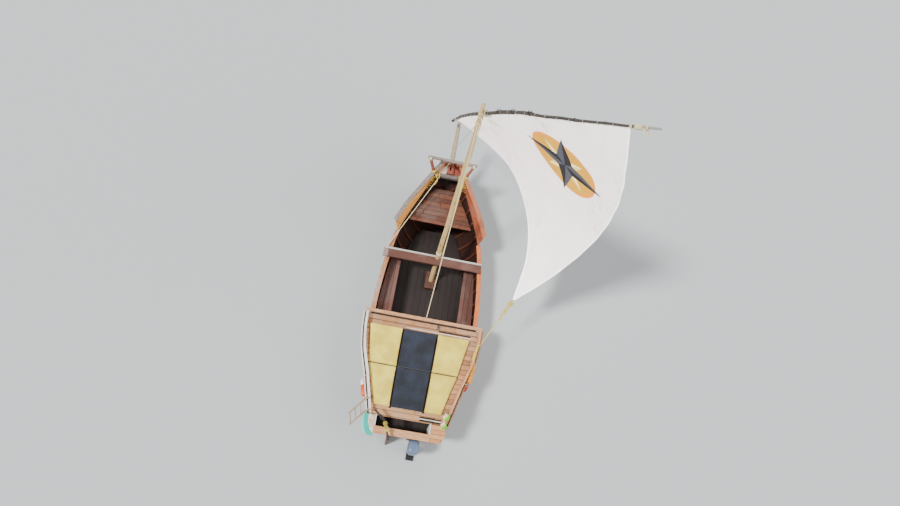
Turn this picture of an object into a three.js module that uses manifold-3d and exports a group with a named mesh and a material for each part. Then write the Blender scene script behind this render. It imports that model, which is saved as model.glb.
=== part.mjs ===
// East African dhow with a raised aft deck, a lateen sail and an outboard motor.
// Millimetres. +X is towards the bow, +Y to port, +Z up. The origin is at the
// waterline, amidships on the centre plane.

import * as THREE from 'three';
import { mergeVertices } from 'three/addons/utils/BufferGeometryUtils.js';
import Module from 'manifold-3d';

const wasm = await Module();
wasm.setup();

// Driving dimensions

const FIT = 0.4;                 // gap between pieces that touch
const PLANK = 48;                // hull planking with its inner lining
const POINTS_PER_SIDE = 10;      // corners on one side of a hull section
const STEPS = 3;                 // sections that the loft takes for each one in the table
const RIB = { deep: 45, wide: 70, first: -3500, spacing: 420, count: 18 };
const RAIL_THICK = 52;           // gunwale cap
const RAIL_IN = 96;              // cap's reach inboard of the planking's outside
const RAIL_OUT = 38;             // cap's reach outboard of the planking
const STEP_X = 1700;             // where the bow bulwarks begin
const BOW_CAP_X = 4120;          // where the bow bulwarks end

// Hull sections, from the stern to the bow
// x, half beam at the sheer, sheer height, height of the keel line, fullness
const HULL = [
  { x: -4900, beam: 790, sheer: 1290, keel: -10, full: 1.7 },
  { x: -4400, beam: 930, sheer: 1215, keel: -190, full: 1.75 },
  { x: -3700, beam: 1115, sheer: 1110, keel: -390, full: 1.85 },
  { x: -2900, beam: 1310, sheer: 1035, keel: -540, full: 2.0 },
  { x: -1900, beam: 1500, sheer: 985, keel: -610, full: 2.15 },
  { x: -700, beam: 1550, sheer: 965, keel: -620, full: 2.25 },
  { x: 600, beam: 1475, sheer: 990, keel: -620, full: 2.1 },
  { x: 1700, beam: 1310, sheer: 1070, keel: -620, full: 1.85 },
  { x: 2600, beam: 985, sheer: 1180, keel: -610, full: 1.6 },
  { x: 3300, beam: 680, sheer: 1290, keel: 90, full: 1.45 },
  { x: 3800, beam: 440, sheer: 1385, keel: 730, full: 1.35 },
  { x: 4180, beam: 215, sheer: 1465, keel: 1215, full: 1.3 },
  { x: 4330, beam: 95, sheer: 1500, keel: 1400, full: 1.2 },
];

// Transom: its foot and head on the centre plane
const TRANSOM = { footX: -3980, footZ: -300, headX: -4335, headZ: 1290, thick: 60 };

// Keel, stem and sternpost in one, as a side outline of x and z
const KEEL_WIDTH = 110;
const KEEL_BOTTOM = -760;
const KEEL_OUTLINE = [
  [-4150, KEEL_BOTTOM], [2560, KEEL_BOTTOM], [2900, -640], [4590, 1640], [4620, 1840], [4400, 1840],
  [4250, 1440], [2500, -500], [-2900, -430], [-3900, -180], [-4020, -180],
];

// Bow bulwarks: a raised plank, its height over the sheer at either end, and its cap
const BULWARK = { aftRise: 250, foreRise: 285, thick: 40 };
const BOW_CAP = { width: 150, thick: 34, over: 30 };
// How far the plank's head leans out: x, lean
const BULWARK_LEAN = [[STEP_X, 150], [2600, 130], [3300, 50], [3700, 12], [BOW_CAP_X, 0]];

// Raised aft deck
const DECK_TOP = 1235;
const DECK_THICK = 34;
const DECK_FRONT = -1100;
const DECK_AFT = -3940;
// How far the deck's edge stands outside the planking: x, overhang
const DECK_OVERHANG = [[-4900, 0], [-3500, 0], [-2900, 20], [-2200, 95], [-1500, 130], [-900, 135]];

// Deck beams: x of both faces, top, and reach past the deck's edge
const DECK_BEAMS = {
  fore: { aft: DECK_FRONT + FIT, fore: -1000, top: DECK_TOP + 30, reach: 20 },
  second: { aft: -1350, fore: -1255, top: DECK_TOP - 10, reach: -25 },
  middle: { aft: -2350, fore: -2255, top: DECK_TOP - 10, reach: -25 },
  aft: { aft: -3650, fore: -3555, top: DECK_TOP - 10, reach: -25 },
};

// Mast, yard and their slings
const MAST = { foot: [640, -40, 80], head: [2920, -290, 6200], footRadius: 76, headRadius: 52 };
const YARD_HEEL = [5226, 245, 2399];
const SLING_AT = [2866, -406, 5958];
const YARD_POINTS = [
  YARD_HEEL, [4180, 31, 4056], SLING_AT, [2030, -910, 7200], [1040, -1720, 8500], [-60, -2970, 10030],
];
const YARD_LUFF = { from: 0.085, to: 0.937 };
// share of the yard's length, radius
const YARD_RADII = [[0, 38], [0.2, 47], [0.42, 50], [0.7, 38], [1, 24]];
const SLING = { radius: 68, half: 75 };
const RUNNING_FIT = 0.7;         // gap round a pin or a bearing

// Sail: tack and peak lie on the yard, the clew hangs free
const CLEW = [-366, -2318, 2113];
const FOOT_CURVE = [[4395, -533, 3047], [3290, -1604, 3290], [2141, -2284, 2966], [968, -2512, 2546]];
const LEECH_CURVE = [[252, -2870, 8909], [397, -3506, 6879], [463, -3672, 4929], [133, -3127, 3088]];
const SAIL_BELLY = 175;
const SAIL_THICK = 14;
const SAIL_COLUMNS = 12;
const SAIL_ROWS = 10;
const SAIL_END = 0.975;          // the rows stop short of the clew's point

// Bowsprit and the frame over the bow
const SPRIT = { heel: [4090, 0, 1714], tip: [5360, 0, 2210], heelRadius: 76, tipRadius: 50 };
const GALLOWS = { x: 3660, footIn: 35, topX: 3950, topY: 710, top: 2060, bar: 42, post: 40, barEnd: 780 };

// Rudder and outboard motor, side by side on the transom
const RUDDER_Y = 440;
const MOTOR_Y = -290;

// Small tools that make closed shapes

const vec = (p) => new THREE.Vector3(p[0], p[1], p[2]);
const mix = (a, b, t) => a + (b - a) * t;

// The value at x in a table of pairs, straight between them
function lookUp(table, x) {
  const k = Math.max(1, table.findIndex(([at]) => at >= x));
  const [[x0, v0], [x1, v1]] = [table[k - 1], table[k]];
  return mix(v0, v1, (x - x0) / (x1 - x0));
}

function closedGeometry(points, triangles) {
  let volume = 0;
  for (const [a, b, c] of triangles) {
    volume += points[a].dot(new THREE.Vector3().crossVectors(points[b], points[c]));
  }
  const geometry = new THREE.BufferGeometry();
  const flat = points.flatMap((p) => [p.x, p.y, p.z]);
  geometry.setAttribute('position', new THREE.Float32BufferAttribute(flat, 3));
  geometry.setIndex(triangles.flatMap(([a, b, c]) => (volume < 0 ? [a, c, b] : [a, b, c])));
  return geometry;
}

// Triangles over one ring of points, turned the same way as the ring
function capTriangles(ring) {
  const normal = new THREE.Vector3();
  ring.forEach((p, i) => normal.add(new THREE.Vector3().crossVectors(p, ring[(i + 1) % ring.length])));
  const size = [Math.abs(normal.x), Math.abs(normal.y), Math.abs(normal.z)];
  const drop = size.indexOf(Math.max(...size));
  const flat = ring.map((p) => {
    const c = [p.x, p.y, p.z];
    c.splice(drop, 1);
    return new THREE.Vector2(c[0], c[1]);
  });
  const faces = THREE.ShapeUtils.triangulateShape(flat, []);
  const turned = THREE.ShapeUtils.area(faces[0].map((k) => flat[k])) * THREE.ShapeUtils.area(flat) < 0;
  return turned ? faces.map(([i, j, k]) => [i, k, j]) : faces;
}

// A closed body through rings that all have the same number of points
function loft(rings) {
  const count = rings[0].length;
  const points = rings.flat();
  const triangles = [];
  for (let r = 0; r + 1 < rings.length; r++) {
    for (let i = 0; i < count; i++) {
      const next = (i + 1) % count;
      const [a, b, c, d] = [r * count + i, r * count + next, (r + 1) * count + next, (r + 1) * count + i];
      triangles.push([a, b, c], [a, c, d]);
    }
  }
  const last = (rings.length - 1) * count;
  for (const [a, b, c] of capTriangles(rings[0])) triangles.push([a, c, b]);
  for (const [a, b, c] of capTriangles(rings[rings.length - 1])) triangles.push([last + a, last + b, last + c]);
  return closedGeometry(points, triangles);
}

// An outline in X and Z, carried across from y0 to y1
const prismXZ = (outline, y0, y1) => loft([y0, y1].map((y) => outline.map(([x, z]) => vec([x, y, z]))));

// An outline in X and Y, carried up from z0 to z1
const prismXY = (outline, z0, z1) => loft([z0, z1].map((z) => outline.map(([x, y]) => vec([x, y, z]))));

const block = (x0, x1, y0, y1, z0, z1) => prismXY([[x0, y0], [x1, y0], [x1, y1], [x0, y1]], z0, z1);

// A round pole along a path, with a radius at each point
function pole(path, radii, sides = 10) {
  const rings = path.map((p, i) => {
    const before = path[Math.max(i - 1, 0)];
    const after = path[Math.min(i + 1, path.length - 1)];
    const along = new THREE.Vector3().subVectors(after, before).normalize();
    const reference = Math.abs(along.y) > 0.9 ? new THREE.Vector3(1, 0, 0) : new THREE.Vector3(0, 1, 0);
    const side = reference.addScaledVector(along, -reference.dot(along)).normalize();
    const up = new THREE.Vector3().crossVectors(along, side);
    return Array.from({ length: sides }, (_, k) => {
      const turn = (2 * Math.PI * k) / sides;
      return p.clone()
        .addScaledVector(side, radii[i] * Math.cos(turn))
        .addScaledVector(up, radii[i] * Math.sin(turn));
    });
  });
  return loft(rings);
}

const straightPole = (from, to, r0, r1, sides = 10) => pole([vec(from), vec(to)], [r0, r1], sides);

// A squared timber between two points; across is its level width
function timber(from, to, across, deep) {
  const [a, b] = [vec(from), vec(to)];
  const along = new THREE.Vector3().subVectors(b, a).normalize();
  const reference = Math.abs(along.z) > 0.9 ? new THREE.Vector3(1, 0, 0) : new THREE.Vector3(0, 0, 1);
  const side = new THREE.Vector3().crossVectors(reference, along).normalize();
  const up = new THREE.Vector3().crossVectors(along, side);
  const corners = [[1, 1], [-1, 1], [-1, -1], [1, -1]];
  return loft([a, b].map((p) => corners.map(([s, u]) => p.clone()
    .addScaledVector(side, (s * across) / 2)
    .addScaledVector(up, (u * deep) / 2))));
}

// Joining and cutting

function toSolid(geometry) {
  const bare = geometry.clone();
  bare.deleteAttribute('normal');
  bare.deleteAttribute('uv');
  const merged = mergeVertices(bare, 1e-3);
  return new wasm.Manifold(new wasm.Mesh({
    numProp: 3,
    vertProperties: new Float32Array(merged.attributes.position.array),
    triVerts: new Uint32Array(merged.index.array),
  }));
}

function toGeometry(solid) {
  const mesh = solid.getMesh();
  const geometry = new THREE.BufferGeometry();
  geometry.setAttribute('position', new THREE.BufferAttribute(mesh.vertProperties, 3));
  geometry.setIndex(new THREE.BufferAttribute(mesh.triVerts, 1));
  return geometry;
}

const join = (first, ...rest) => toGeometry(rest.reduce((s, g) => s.add(toSolid(g)), toSolid(first)));
const cut = (first, ...rest) => toGeometry(rest.reduce((s, g) => s.subtract(toSolid(g)), toSolid(first)));
const common = (first, ...rest) => toGeometry(rest.reduce((s, g) => s.intersect(toSolid(g)), toSolid(first)));

// The assembly

const boat = new THREE.Group();

function part(name, geometry, color, roughness = 0.8, metalness = 0) {
  const material = new THREE.MeshStandardMaterial({ color, roughness, metalness });
  const mesh = new THREE.Mesh(geometry, material);
  mesh.name = name;
  boat.add(mesh);
  return mesh;
}

const SIDES = [{ side: 'port', sign: 1 }, { side: 'starboard', sign: -1 }];

// Hull lines

// A smooth curve of one column of the table against x, through its values
function fair(column, k, t) {
  const [a, b] = [HULL[k - 1], HULL[k]];
  const slope = (i) => {
    const [before, after] = [HULL[Math.max(i - 1, 0)], HULL[Math.min(i + 1, HULL.length - 1)]];
    return ((after[column] - before[column]) / (after.x - before.x)) * (b.x - a.x);
  };
  const [t2, t3] = [t * t, t * t * t];
  return a[column] * (2 * t3 - 3 * t2 + 1) + slope(k - 1) * (t3 - 2 * t2 + t)
    + b[column] * (3 * t2 - 2 * t3) + slope(k) * (t3 - t2);
}

// The keel line turns up sharply at the forefoot, so it stays straight between its points
function fairSection(k, t) {
  return {
    x: mix(HULL[k - 1].x, HULL[k].x, t),
    beam: fair('beam', k, t),
    sheer: fair('sheer', k, t),
    keel: mix(HULL[k - 1].keel, HULL[k].keel, t),
    full: fair('full', k, t),
  };
}
const SECTIONS = HULL.slice(1).flatMap((_, i) => (
  Array.from({ length: STEPS }, (__, j) => fairSection(i + 1, j / STEPS))
)).concat([HULL[HULL.length - 1]]);

function hullAt(x) {
  const k = Math.max(1, SECTIONS.findIndex((s) => s.x >= x));
  const [a, b] = [SECTIONS[k - 1], SECTIONS[k]];
  const t = (x - a.x) / (b.x - a.x);
  return {
    x,
    beam: mix(a.beam, b.beam, t),
    sheer: mix(a.sheer, b.sheer, t),
    keel: mix(a.keel, b.keel, t),
    full: mix(a.full, b.full, t),
  };
}

// One side of a section, from the sheer down to the keel
function sectionSide(s, grow) {
  const top = s.sheer + Math.max(grow, 0);
  return Array.from({ length: POINTS_PER_SIDE }, (_, i) => {
    const angle = (Math.PI / 2) * (i / (POINTS_PER_SIDE - 1));
    const out = Math.max(Math.cos(angle), 0) ** (2 / s.full);
    const down = Math.sin(angle) ** (2 / s.full);
    return [(s.beam + grow) * out, top - (top - s.keel + grow) * down];
  });
}

function sideStations(fromX, toX) {
  return [hullAt(fromX), ...SECTIONS.filter((s) => s.x > fromX + 1 && s.x < toX - 1), hullAt(toX)];
}

// A solid of the hull's form; lift carries its sides up past the sheer
function hullForm(grow, lift = 0, fromX = -Infinity, toX = Infinity) {
  const stations = SECTIONS.filter((s) => s.x > fromX && s.x < toX);
  if (fromX > HULL[0].x) stations.unshift(hullAt(fromX));
  if (toX < HULL[HULL.length - 1].x) stations.push(hullAt(toX));
  return loft(stations.map((s) => {
    const half = sectionSide(s, grow);
    const top = lift ? [[half[0][0], s.sheer + lift]] : [];
    const port = [...top, ...half];
    const starboard = port.slice(0, -1).reverse().map(([y, z]) => [-y, z]);
    const x = s.x === HULL[HULL.length - 1].x ? s.x + Math.max(grow, 0) : s.x;
    return [...port, ...starboard].map(([y, z]) => vec([x, y, z]));
  }));
}

// Four sides along the hull's edge; edges gives inner, outer, low, high and the head's lean at a section
function alongEdge(fromX, toX, sign, edges) {
  return loft(sideStations(fromX, toX).map((s) => {
    const [inner, outer, low, high, lean = 0] = edges(s);
    return [[inner, low], [outer, low], [outer + lean, high], [inner + lean, high]]
      .map(([y, z]) => vec([s.x, sign * y, z]));
  }));
}

// The transom's inner face
const transomLean = (TRANSOM.headX - TRANSOM.footX) / (TRANSOM.headZ - TRANSOM.footZ);
const transomX = (z) => TRANSOM.footX + transomLean * (z - TRANSOM.footZ);

// All the space behind that face, shifted along X
const FAR = { low: -1500, high: 2500, aft: -6500, side: 2500 };
const behindTransom = (shift) => prismXZ([
  [transomX(FAR.low) + shift, FAR.low], [transomX(FAR.high) + shift, FAR.high], [FAR.aft, FAR.high],
  [FAR.aft, FAR.low]], -FAR.side, FAR.side);

// The room inside the planking, and the room inside the ribs kept clear of them by a fit
const HOLLOW_LIFT = 400;
const HOLLOW_FORE = 4150;
const hollow = hullForm(-PLANK, HOLLOW_LIFT, -Infinity, HOLLOW_FORE);
const insideRibs = hullForm(-PLANK - RIB.deep - FIT, HOLLOW_LIFT, -Infinity, HOLLOW_FORE);
const fitInside = (geometry) => common(geometry, insideRibs);

// Hull shell, keel and stem, transom

const COLOR = {
  planking: 0xcfc9c4, rail: 0xb5713a, weathered: 0xbfb4b0, deck: 0x9a7a58, dark: 0x3a2218,
  pole: 0xd9c39a, yard: 0x4a3f38, sail: 0xece6df, rope: 0xd8cfa8, navy: 0x1c2233, cream: 0xd9c07a,
  brown: 0x7a4430, grey: 0xa9a6a6, black: 0x17171a, motor: 0x8f93a8, turquoise: 0x5fd0c0,
};

// Ribs stand inside the planking, from one gunwale round the bilge to the other
const RIB_ROOT = 20;
const ribSlices = Array.from({ length: RIB.count }, (_, i) => {
  const aft = RIB.first + i * RIB.spacing;
  return block(aft, aft + RIB.wide, -FAR.side, FAR.side, FAR.low, FAR.high);
});
const ribs = cut(common(hullForm(RIB_ROOT - PLANK), join(...ribSlices)),
  hullForm(-PLANK - RIB.deep, HOLLOW_LIFT, -Infinity, HOLLOW_FORE));
part('hull_shell', join(cut(hullForm(0), hollow, behindTransom(FIT)), ribs), COLOR.planking);

const railSolid = (sign, grow) => alongEdge(TRANSOM.headX - TRANSOM.thick - grow, STEP_X - FIT, sign, (s) => [
  s.beam - RAIL_IN - grow, s.beam + RAIL_OUT + grow,
  s.sheer + FIT - grow, s.sheer + FIT + RAIL_THICK + grow]);
const transomSlab = common(hullForm(0, RAIL_THICK - 2), behindTransom(0));
part('transom', cut(transomSlab, behindTransom(-TRANSOM.thick), railSolid(1, FIT), railSolid(-1, FIT)),
  COLOR.planking);

const spritSolid = (grow) => straightPole(
  SPRIT.heel, SPRIT.tip, SPRIT.heelRadius + grow, SPRIT.tipRadius + grow, 12);
part('keel_and_stem', cut(prismXZ(KEEL_OUTLINE, -KEEL_WIDTH / 2, KEEL_WIDTH / 2), hullForm(FIT),
  behindTransom(0), spritSolid(FIT)), COLOR.planking);

// Gunwale caps from the transom to the step, and the raised bow bulwarks

const capTop = (x) => hullAt(x).sheer + FIT + RAIL_THICK;
const bulwarkRise = (x) => {
  const t = THREE.MathUtils.clamp((x - STEP_X) / (BOW_CAP_X - STEP_X), 0, 1);
  return mix(BULWARK.aftRise, BULWARK.foreRise, t);
};
const bulwarkLean = (x) => lookUp(BULWARK_LEAN, x);
// Their aft ends are cut slantwise, as x and the distance from the middle
const BULWARK_END = [[1600, 1150], [1700, 1250], [1930, 1430], [2060, 1560], [1600, 1560]];
for (const { side, sign } of SIDES) {
  const end = prismXY(BULWARK_END.map(([x, y]) => [x, sign * y]), 0, FAR.high);
  part(`gunwale_${side}`, railSolid(sign, 0), COLOR.rail);
  part(`bulwark_${side}`, cut(alongEdge(STEP_X, BOW_CAP_X, sign, (s) => [
    s.beam - BULWARK.thick, s.beam, s.sheer + FIT, s.sheer + bulwarkRise(s.x), bulwarkLean(s.x)]), end),
  COLOR.rail);
  part(`bulwark_cap_${side}`, cut(alongEdge(STEP_X, BOW_CAP_X, sign, (s) => {
    const inner = s.beam - BULWARK.thick + bulwarkLean(s.x) - BOW_CAP.over;
    const low = s.sheer + bulwarkRise(s.x) + FIT;
    return [inner, inner + BOW_CAP.width, low, low + BOW_CAP.thick];
  }), end), COLOR.weathered);
}

// Inside the hull: floor boards, benches, mast step, bow pieces

const mastAt = (t) => vec(MAST.foot).lerp(vec(MAST.head), t);
const mastLength = mastAt(0).distanceTo(mastAt(1));
const mastSolid = (grow) => pole([mastAt(-grow / mastLength), mastAt(1)],
  [MAST.footRadius + grow, MAST.headRadius + grow], 16);
const mastGrown = mastSolid(FIT);
const FLOOR_TOP = 20;
part('floor_boards', fitInside(block(-3900, 2450, -1500, 1500, FLOOR_TOP - 35, FLOOR_TOP)), COLOR.dark);
part('mast_step', cut(block(380, 940, -210, 130, FLOOR_TOP + FIT, 170), mastGrown), COLOR.brown);

const BENCH = { top: 640, thick: 40, inner: 1000, aft: -860, fore: 930 };
for (const { side, sign } of SIDES) {
  const [near, far] = [sign * BENCH.inner, sign * FAR.side].sort((a, b) => a - b);
  part(`side_bench_${side}`, fitInside(
    block(BENCH.aft, BENCH.fore, near, far, BENCH.top - BENCH.thick, BENCH.top)), COLOR.brown);
}

part('foredeck', fitInside(block(2260, 3560, -1100, 1100, 905, 940)), COLOR.brown);

// The breasthook fills the bow's corner, against the planking, with a slot along its middle
const BREASTHOOK = [
  [3760, -420], [4140, -260], [4140, 260], [3760, 420], [3790, 50], [4060, 30], [4060, -30], [3790, -50]];
part('breasthook', common(prismXY(BREASTHOOK, 1330, 1390),
  hullForm(-PLANK - FIT, HOLLOW_LIFT, -Infinity, HOLLOW_FORE)), COLOR.brown);

// Mast thwart across the gunwales, sticking out over the port side
const THWART = { aft: 770, fore: 1085, thick: 62, port: 1570, starboard: -1450 };
const thwartLow = capTop(THWART.fore) + FIT;
part('mast_thwart', cut(block(THWART.aft, THWART.fore, THWART.starboard, THWART.port, thwartLow,
  thwartLow + THWART.thick), mastGrown), COLOR.grey);
part('mast', mastSolid(0), COLOR.pole);

// Raised aft deck on its beams

const deckHalf = (x) => hullAt(x).beam + lookUp(DECK_OVERHANG, x);
const deckStations = sideStations(DECK_AFT, DECK_FRONT);
const deckEdge = deckStations.map((s) => [s.x, deckHalf(s.x)]);
function deckBeam({ aft, fore, top, reach }) {
  const half = deckHalf((aft + fore) / 2) + reach;
  return block(aft, fore, -half, half, Math.max(capTop(aft), capTop(fore)) + FIT, top);
}
const deckBoards = prismXY([...deckEdge, ...deckEdge.map(([x, y]) => [x, -y]).reverse()],
  DECK_TOP - DECK_THICK, DECK_TOP);
const underBeams = ['second', 'middle', 'aft'].map((name) => deckBeam(DECK_BEAMS[name]));
// A raised plank behind the front beam, and two slots near the deck's aft edge
const RAISED_PLANK = { aft: -1310, fore: -1165, half: 1560, high: 28 };
const DECK_SLOTS = { x: [-3888, -3812], wide: 30, from: -715, to: -320 };
const raisedPlank = block(RAISED_PLANK.aft, RAISED_PLANK.fore, -RAISED_PLANK.half, RAISED_PLANK.half,
  DECK_TOP - DECK_THICK, DECK_TOP + RAISED_PLANK.high);
const deckSlots = DECK_SLOTS.x.map((x) => (
  block(x, x + DECK_SLOTS.wide, DECK_SLOTS.from, DECK_SLOTS.to, 0, FAR.high)));
part('aft_deck', cut(join(deckBoards, ...underBeams, raisedPlank), ...deckSlots), COLOR.deck);
part('deck_beam_fore', deckBeam(DECK_BEAMS.fore), COLOR.pole);

// Mattresses on the deck, in three rows fore and aft
const PAD_THICK = 95;
const PAD_GAP = 14;
const PAD_X = [-1430, -2565, -3700];
const PAD_ENDS = [{ end: 'fore', first: 0 }, { end: 'aft', first: 1 }];
// Each row's starboard and port edge at the three places in PAD_X
const PAD_ROWS = [
  { row: 'port', color: COLOR.cream, near: [548, 543, 534], far: [1520, 1350, 1000] },
  { row: 'middle', color: COLOR.navy, near: [-440, -415, -380], far: [548, 543, 534] },
  { row: 'starboard', color: COLOR.cream, near: [-1400, -1180, -880], far: [-440, -415, -380] },
];
for (const { end, first } of PAD_ENDS) {
  for (const { row, near, far, color } of PAD_ROWS) {
    const [i, j, gap] = [first, first + 1, PAD_GAP / 2];
    const [foreX, aftX] = [PAD_X[i] - gap, PAD_X[j] + gap];
    const outline = [
      [foreX, near[i] + gap], [foreX, far[i] - gap], [aftX, far[j] - gap], [aftX, near[j] + gap],
    ];
    part(`pad_${row}_${end}`, prismXY(outline, DECK_TOP + FIT, DECK_TOP + PAD_THICK), color);
  }
}

// Stern: well floor, partition, quarter decks and the transom's cap

const WELL_FLOOR = 560;
part('stern_well_floor', cut(fitInside(block(-4700, -3560, -1400, 1400, WELL_FLOOR - 40, WELL_FLOOR)),
  behindTransom(2 * FIT)), COLOR.dark);

const QUARTER = {
  low: capTop(TRANSOM.headX - TRANSOM.thick) + FIT, thick: 46, fore: DECK_AFT - 10, round: 300, steps: 5,
};
const QUARTERS = [
  { side: 'port', sign: 1, inner: 860, outer: 1215, aft: -4500 },
  { side: 'starboard', sign: -1, inner: 640, outer: 1060, aft: -4440 },
];
for (const { side, sign, inner, outer, aft } of QUARTERS) {
  const corner = Array.from({ length: QUARTER.steps + 1 }, (_, i) => {
    const turn = (Math.PI / 2) * (i / QUARTER.steps);
    return [aft + QUARTER.round * (1 - Math.sin(turn)), outer - QUARTER.round * (1 - Math.cos(turn))];
  });
  const outline = [[QUARTER.fore, inner], [QUARTER.fore, outer - 40], ...corner, [aft, inner]];
  part(`quarter_deck_${side}`, prismXY(outline.map(([x, y]) => [x, sign * y]), QUARTER.low,
    QUARTER.low + QUARTER.thick), side === 'port' ? COLOR.turquoise : COLOR.deck);
}
const TRANSOM_CAP = { over: 30, width: 190, thick: 60 };
const capAft = transomX(QUARTER.low) - TRANSOM.thick - TRANSOM_CAP.over;
const [portQuarter, starboardQuarter] = QUARTERS;
const transomCap = (grow) => block(capAft - grow, capAft + TRANSOM_CAP.width + grow,
  FIT - starboardQuarter.inner - grow, portQuarter.inner - FIT + grow,
  QUARTER.low - grow, QUARTER.low + TRANSOM_CAP.thick + grow);
part('transom_cap', transomCap(0), COLOR.pole);

// Boards that close the stern well on either side, under the quarter decks' inner edges
const WELL_SIDE = { thick: 30, over: 14 };
for (const { side, sign, inner } of QUARTERS) {
  const [near, far] = [sign * inner, sign * (inner - WELL_SIDE.thick)];
  const board = prismXZ([
    [transomX(WELL_FLOOR) + FIT, WELL_FLOOR + FIT], [DECK_AFT - FIT, WELL_FLOOR + FIT],
    [DECK_AFT - FIT, QUARTER.low + QUARTER.thick + WELL_SIDE.over],
    [transomX(QUARTER.low) + FIT, QUARTER.low + QUARTER.thick + WELL_SIDE.over],
  ], Math.min(near, far) + (sign < 0 ? FIT : 0), Math.max(near, far) - (sign > 0 ? FIT : 0));
  part(`well_side_${side}`, cut(fitInside(board), transomCap(FIT), railSolid(sign, FIT)), COLOR.planking);
}

// Low side rails from the deck's front to the stern: posts, a hand rail and a foot rail
const RAIL = {
  inset: 38, wide: 64, foot: 40, hand: 40, high: 210, fore: DECK_FRONT - 60, aft: DECK_AFT + 30,
  posts: 8, post: 46, postDeep: 36, firstPost: 50, lastPost: 40,
};
const railY = (x) => deckHalf(x) - RAIL.inset;
for (const { side, sign } of SIDES) {
  const bar = (low, high) => alongEdge(RAIL.aft, RAIL.fore, sign,
    (s) => [railY(s.x) - RAIL.wide / 2, railY(s.x) + RAIL.wide / 2, low, high]);
  const pieces = [
    bar(DECK_TOP + FIT, DECK_TOP + RAIL.foot),
    bar(DECK_TOP + RAIL.high - RAIL.hand, DECK_TOP + RAIL.high),
  ];
  for (let i = 0; i < RAIL.posts; i++) {
    const x = mix(RAIL.fore - RAIL.firstPost, RAIL.aft + RAIL.lastPost, i / (RAIL.posts - 1));
    const y = sign * railY(x);
    pieces.push(block(x - RAIL.post / 2, x + RAIL.post / 2, y - RAIL.postDeep / 2, y + RAIL.postDeep / 2,
      DECK_TOP + RAIL.foot / 2, DECK_TOP + RAIL.high - RAIL.hand / 2));
  }
  part(`side_rail_${side}`, join(...pieces), COLOR.pole);
}

// Bow: bowsprit on its beam, and the frame over the bow

const BOW_BEAM = { aft: 3660, fore: 3780, low: 1440, high: 1550 };
// Everything outboard of a bulwark's inner face
const outsideBulwark = (sign) => alongEdge(STEP_X, BOW_CAP_X, sign, (s) => [
  s.beam - BULWARK.thick - FIT, s.beam + FAR.side, s.sheer + FIT, s.sheer + bulwarkRise(s.x), bulwarkLean(s.x)]);
const bowBeamHalf = hullAt(BOW_BEAM.aft).beam + BULWARK.thick;
part('bow_beam', cut(block(BOW_BEAM.aft, BOW_BEAM.fore, -bowBeamHalf, bowBeamHalf, BOW_BEAM.low, BOW_BEAM.high),
  outsideBulwark(1), outsideBulwark(-1)), COLOR.grey);
part('bowsprit', spritSolid(0), COLOR.pole);

const underCaps = alongEdge(STEP_X, BOW_CAP_X, 1, (s) => [
  -FAR.side, FAR.side, 0, s.sheer + bulwarkRise(s.x) + 2 * FIT + BOW_CAP.thick]);
const barEnd = (sign) => [GALLOWS.topX, sign * GALLOWS.barEnd, GALLOWS.top];
const barSolid = (grow) => straightPole(barEnd(-1), barEnd(1), GALLOWS.bar + grow, GALLOWS.bar + grow, 8);
for (const { side, sign } of SIDES) {
  const { beam, sheer } = hullAt(GALLOWS.x);
  const foot = [GALLOWS.x, sign * (beam - GALLOWS.footIn), sheer + bulwarkRise(GALLOWS.x)];
  const head = [GALLOWS.topX, sign * GALLOWS.topY, GALLOWS.top];
  const post = straightPole(foot, head, GALLOWS.post, GALLOWS.post, 8);
  part(`gallows_post_${side}`, cut(post, underCaps, barSolid(FIT)), COLOR.brown);
}
part('gallows_bar', barSolid(0), COLOR.grey);

// Yard, its sling on the mast, and the sail

const yardCurve = new THREE.CatmullRomCurve3(YARD_POINTS.map(vec), false, 'centripetal');
const YARD_STEPS = 18;
const yardShares = Array.from({ length: YARD_STEPS + 1 }, (_, i) => i / YARD_STEPS);
const yardSolid = (grow) => pole(yardShares.map((t) => yardCurve.getPointAt(t)),
  yardShares.map((t) => lookUp(YARD_RADII, t) + grow), 10);
part('yard', yardSolid(0), COLOR.yard);

// The sling: a wound collar on the yard that turns in a strop on the mast
const swingAxis = new THREE.Vector3().subVectors(vec(SLING_AT), vec(YARD_HEEL)).normalize();
const onAxis = (d) => vec(SLING_AT).addScaledVector(swingAxis, d);
const aroundYard = (half, radius) => pole([onAxis(-half), onAxis(half)], [radius, radius], 24);
part('yard_collar', cut(aroundYard(SLING.half, SLING.radius), yardSolid(FIT)), COLOR.rope);

const STROP = { half: 28, wall: 26, mastLow: -40, mastHigh: 16, mastRadius: 72 };
const mastAxis = new THREE.Vector3().subVectors(vec(MAST.head), vec(MAST.foot)).normalize();
const slingHeight = vec(SLING_AT).sub(vec(MAST.foot)).dot(mastAxis);
const onMast = (d) => vec(MAST.foot).addScaledVector(mastAxis, slingHeight + d);
const mastTurns = pole([onMast(STROP.mastLow), onMast(STROP.mastHigh)],
  [STROP.mastRadius, STROP.mastRadius], 20);
part('mast_strop', cut(join(mastTurns, aroundYard(STROP.half, SLING.radius + STROP.wall)),
  aroundYard(3 * SLING.half, SLING.radius + RUNNING_FIT), mastGrown), COLOR.rope);

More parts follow.
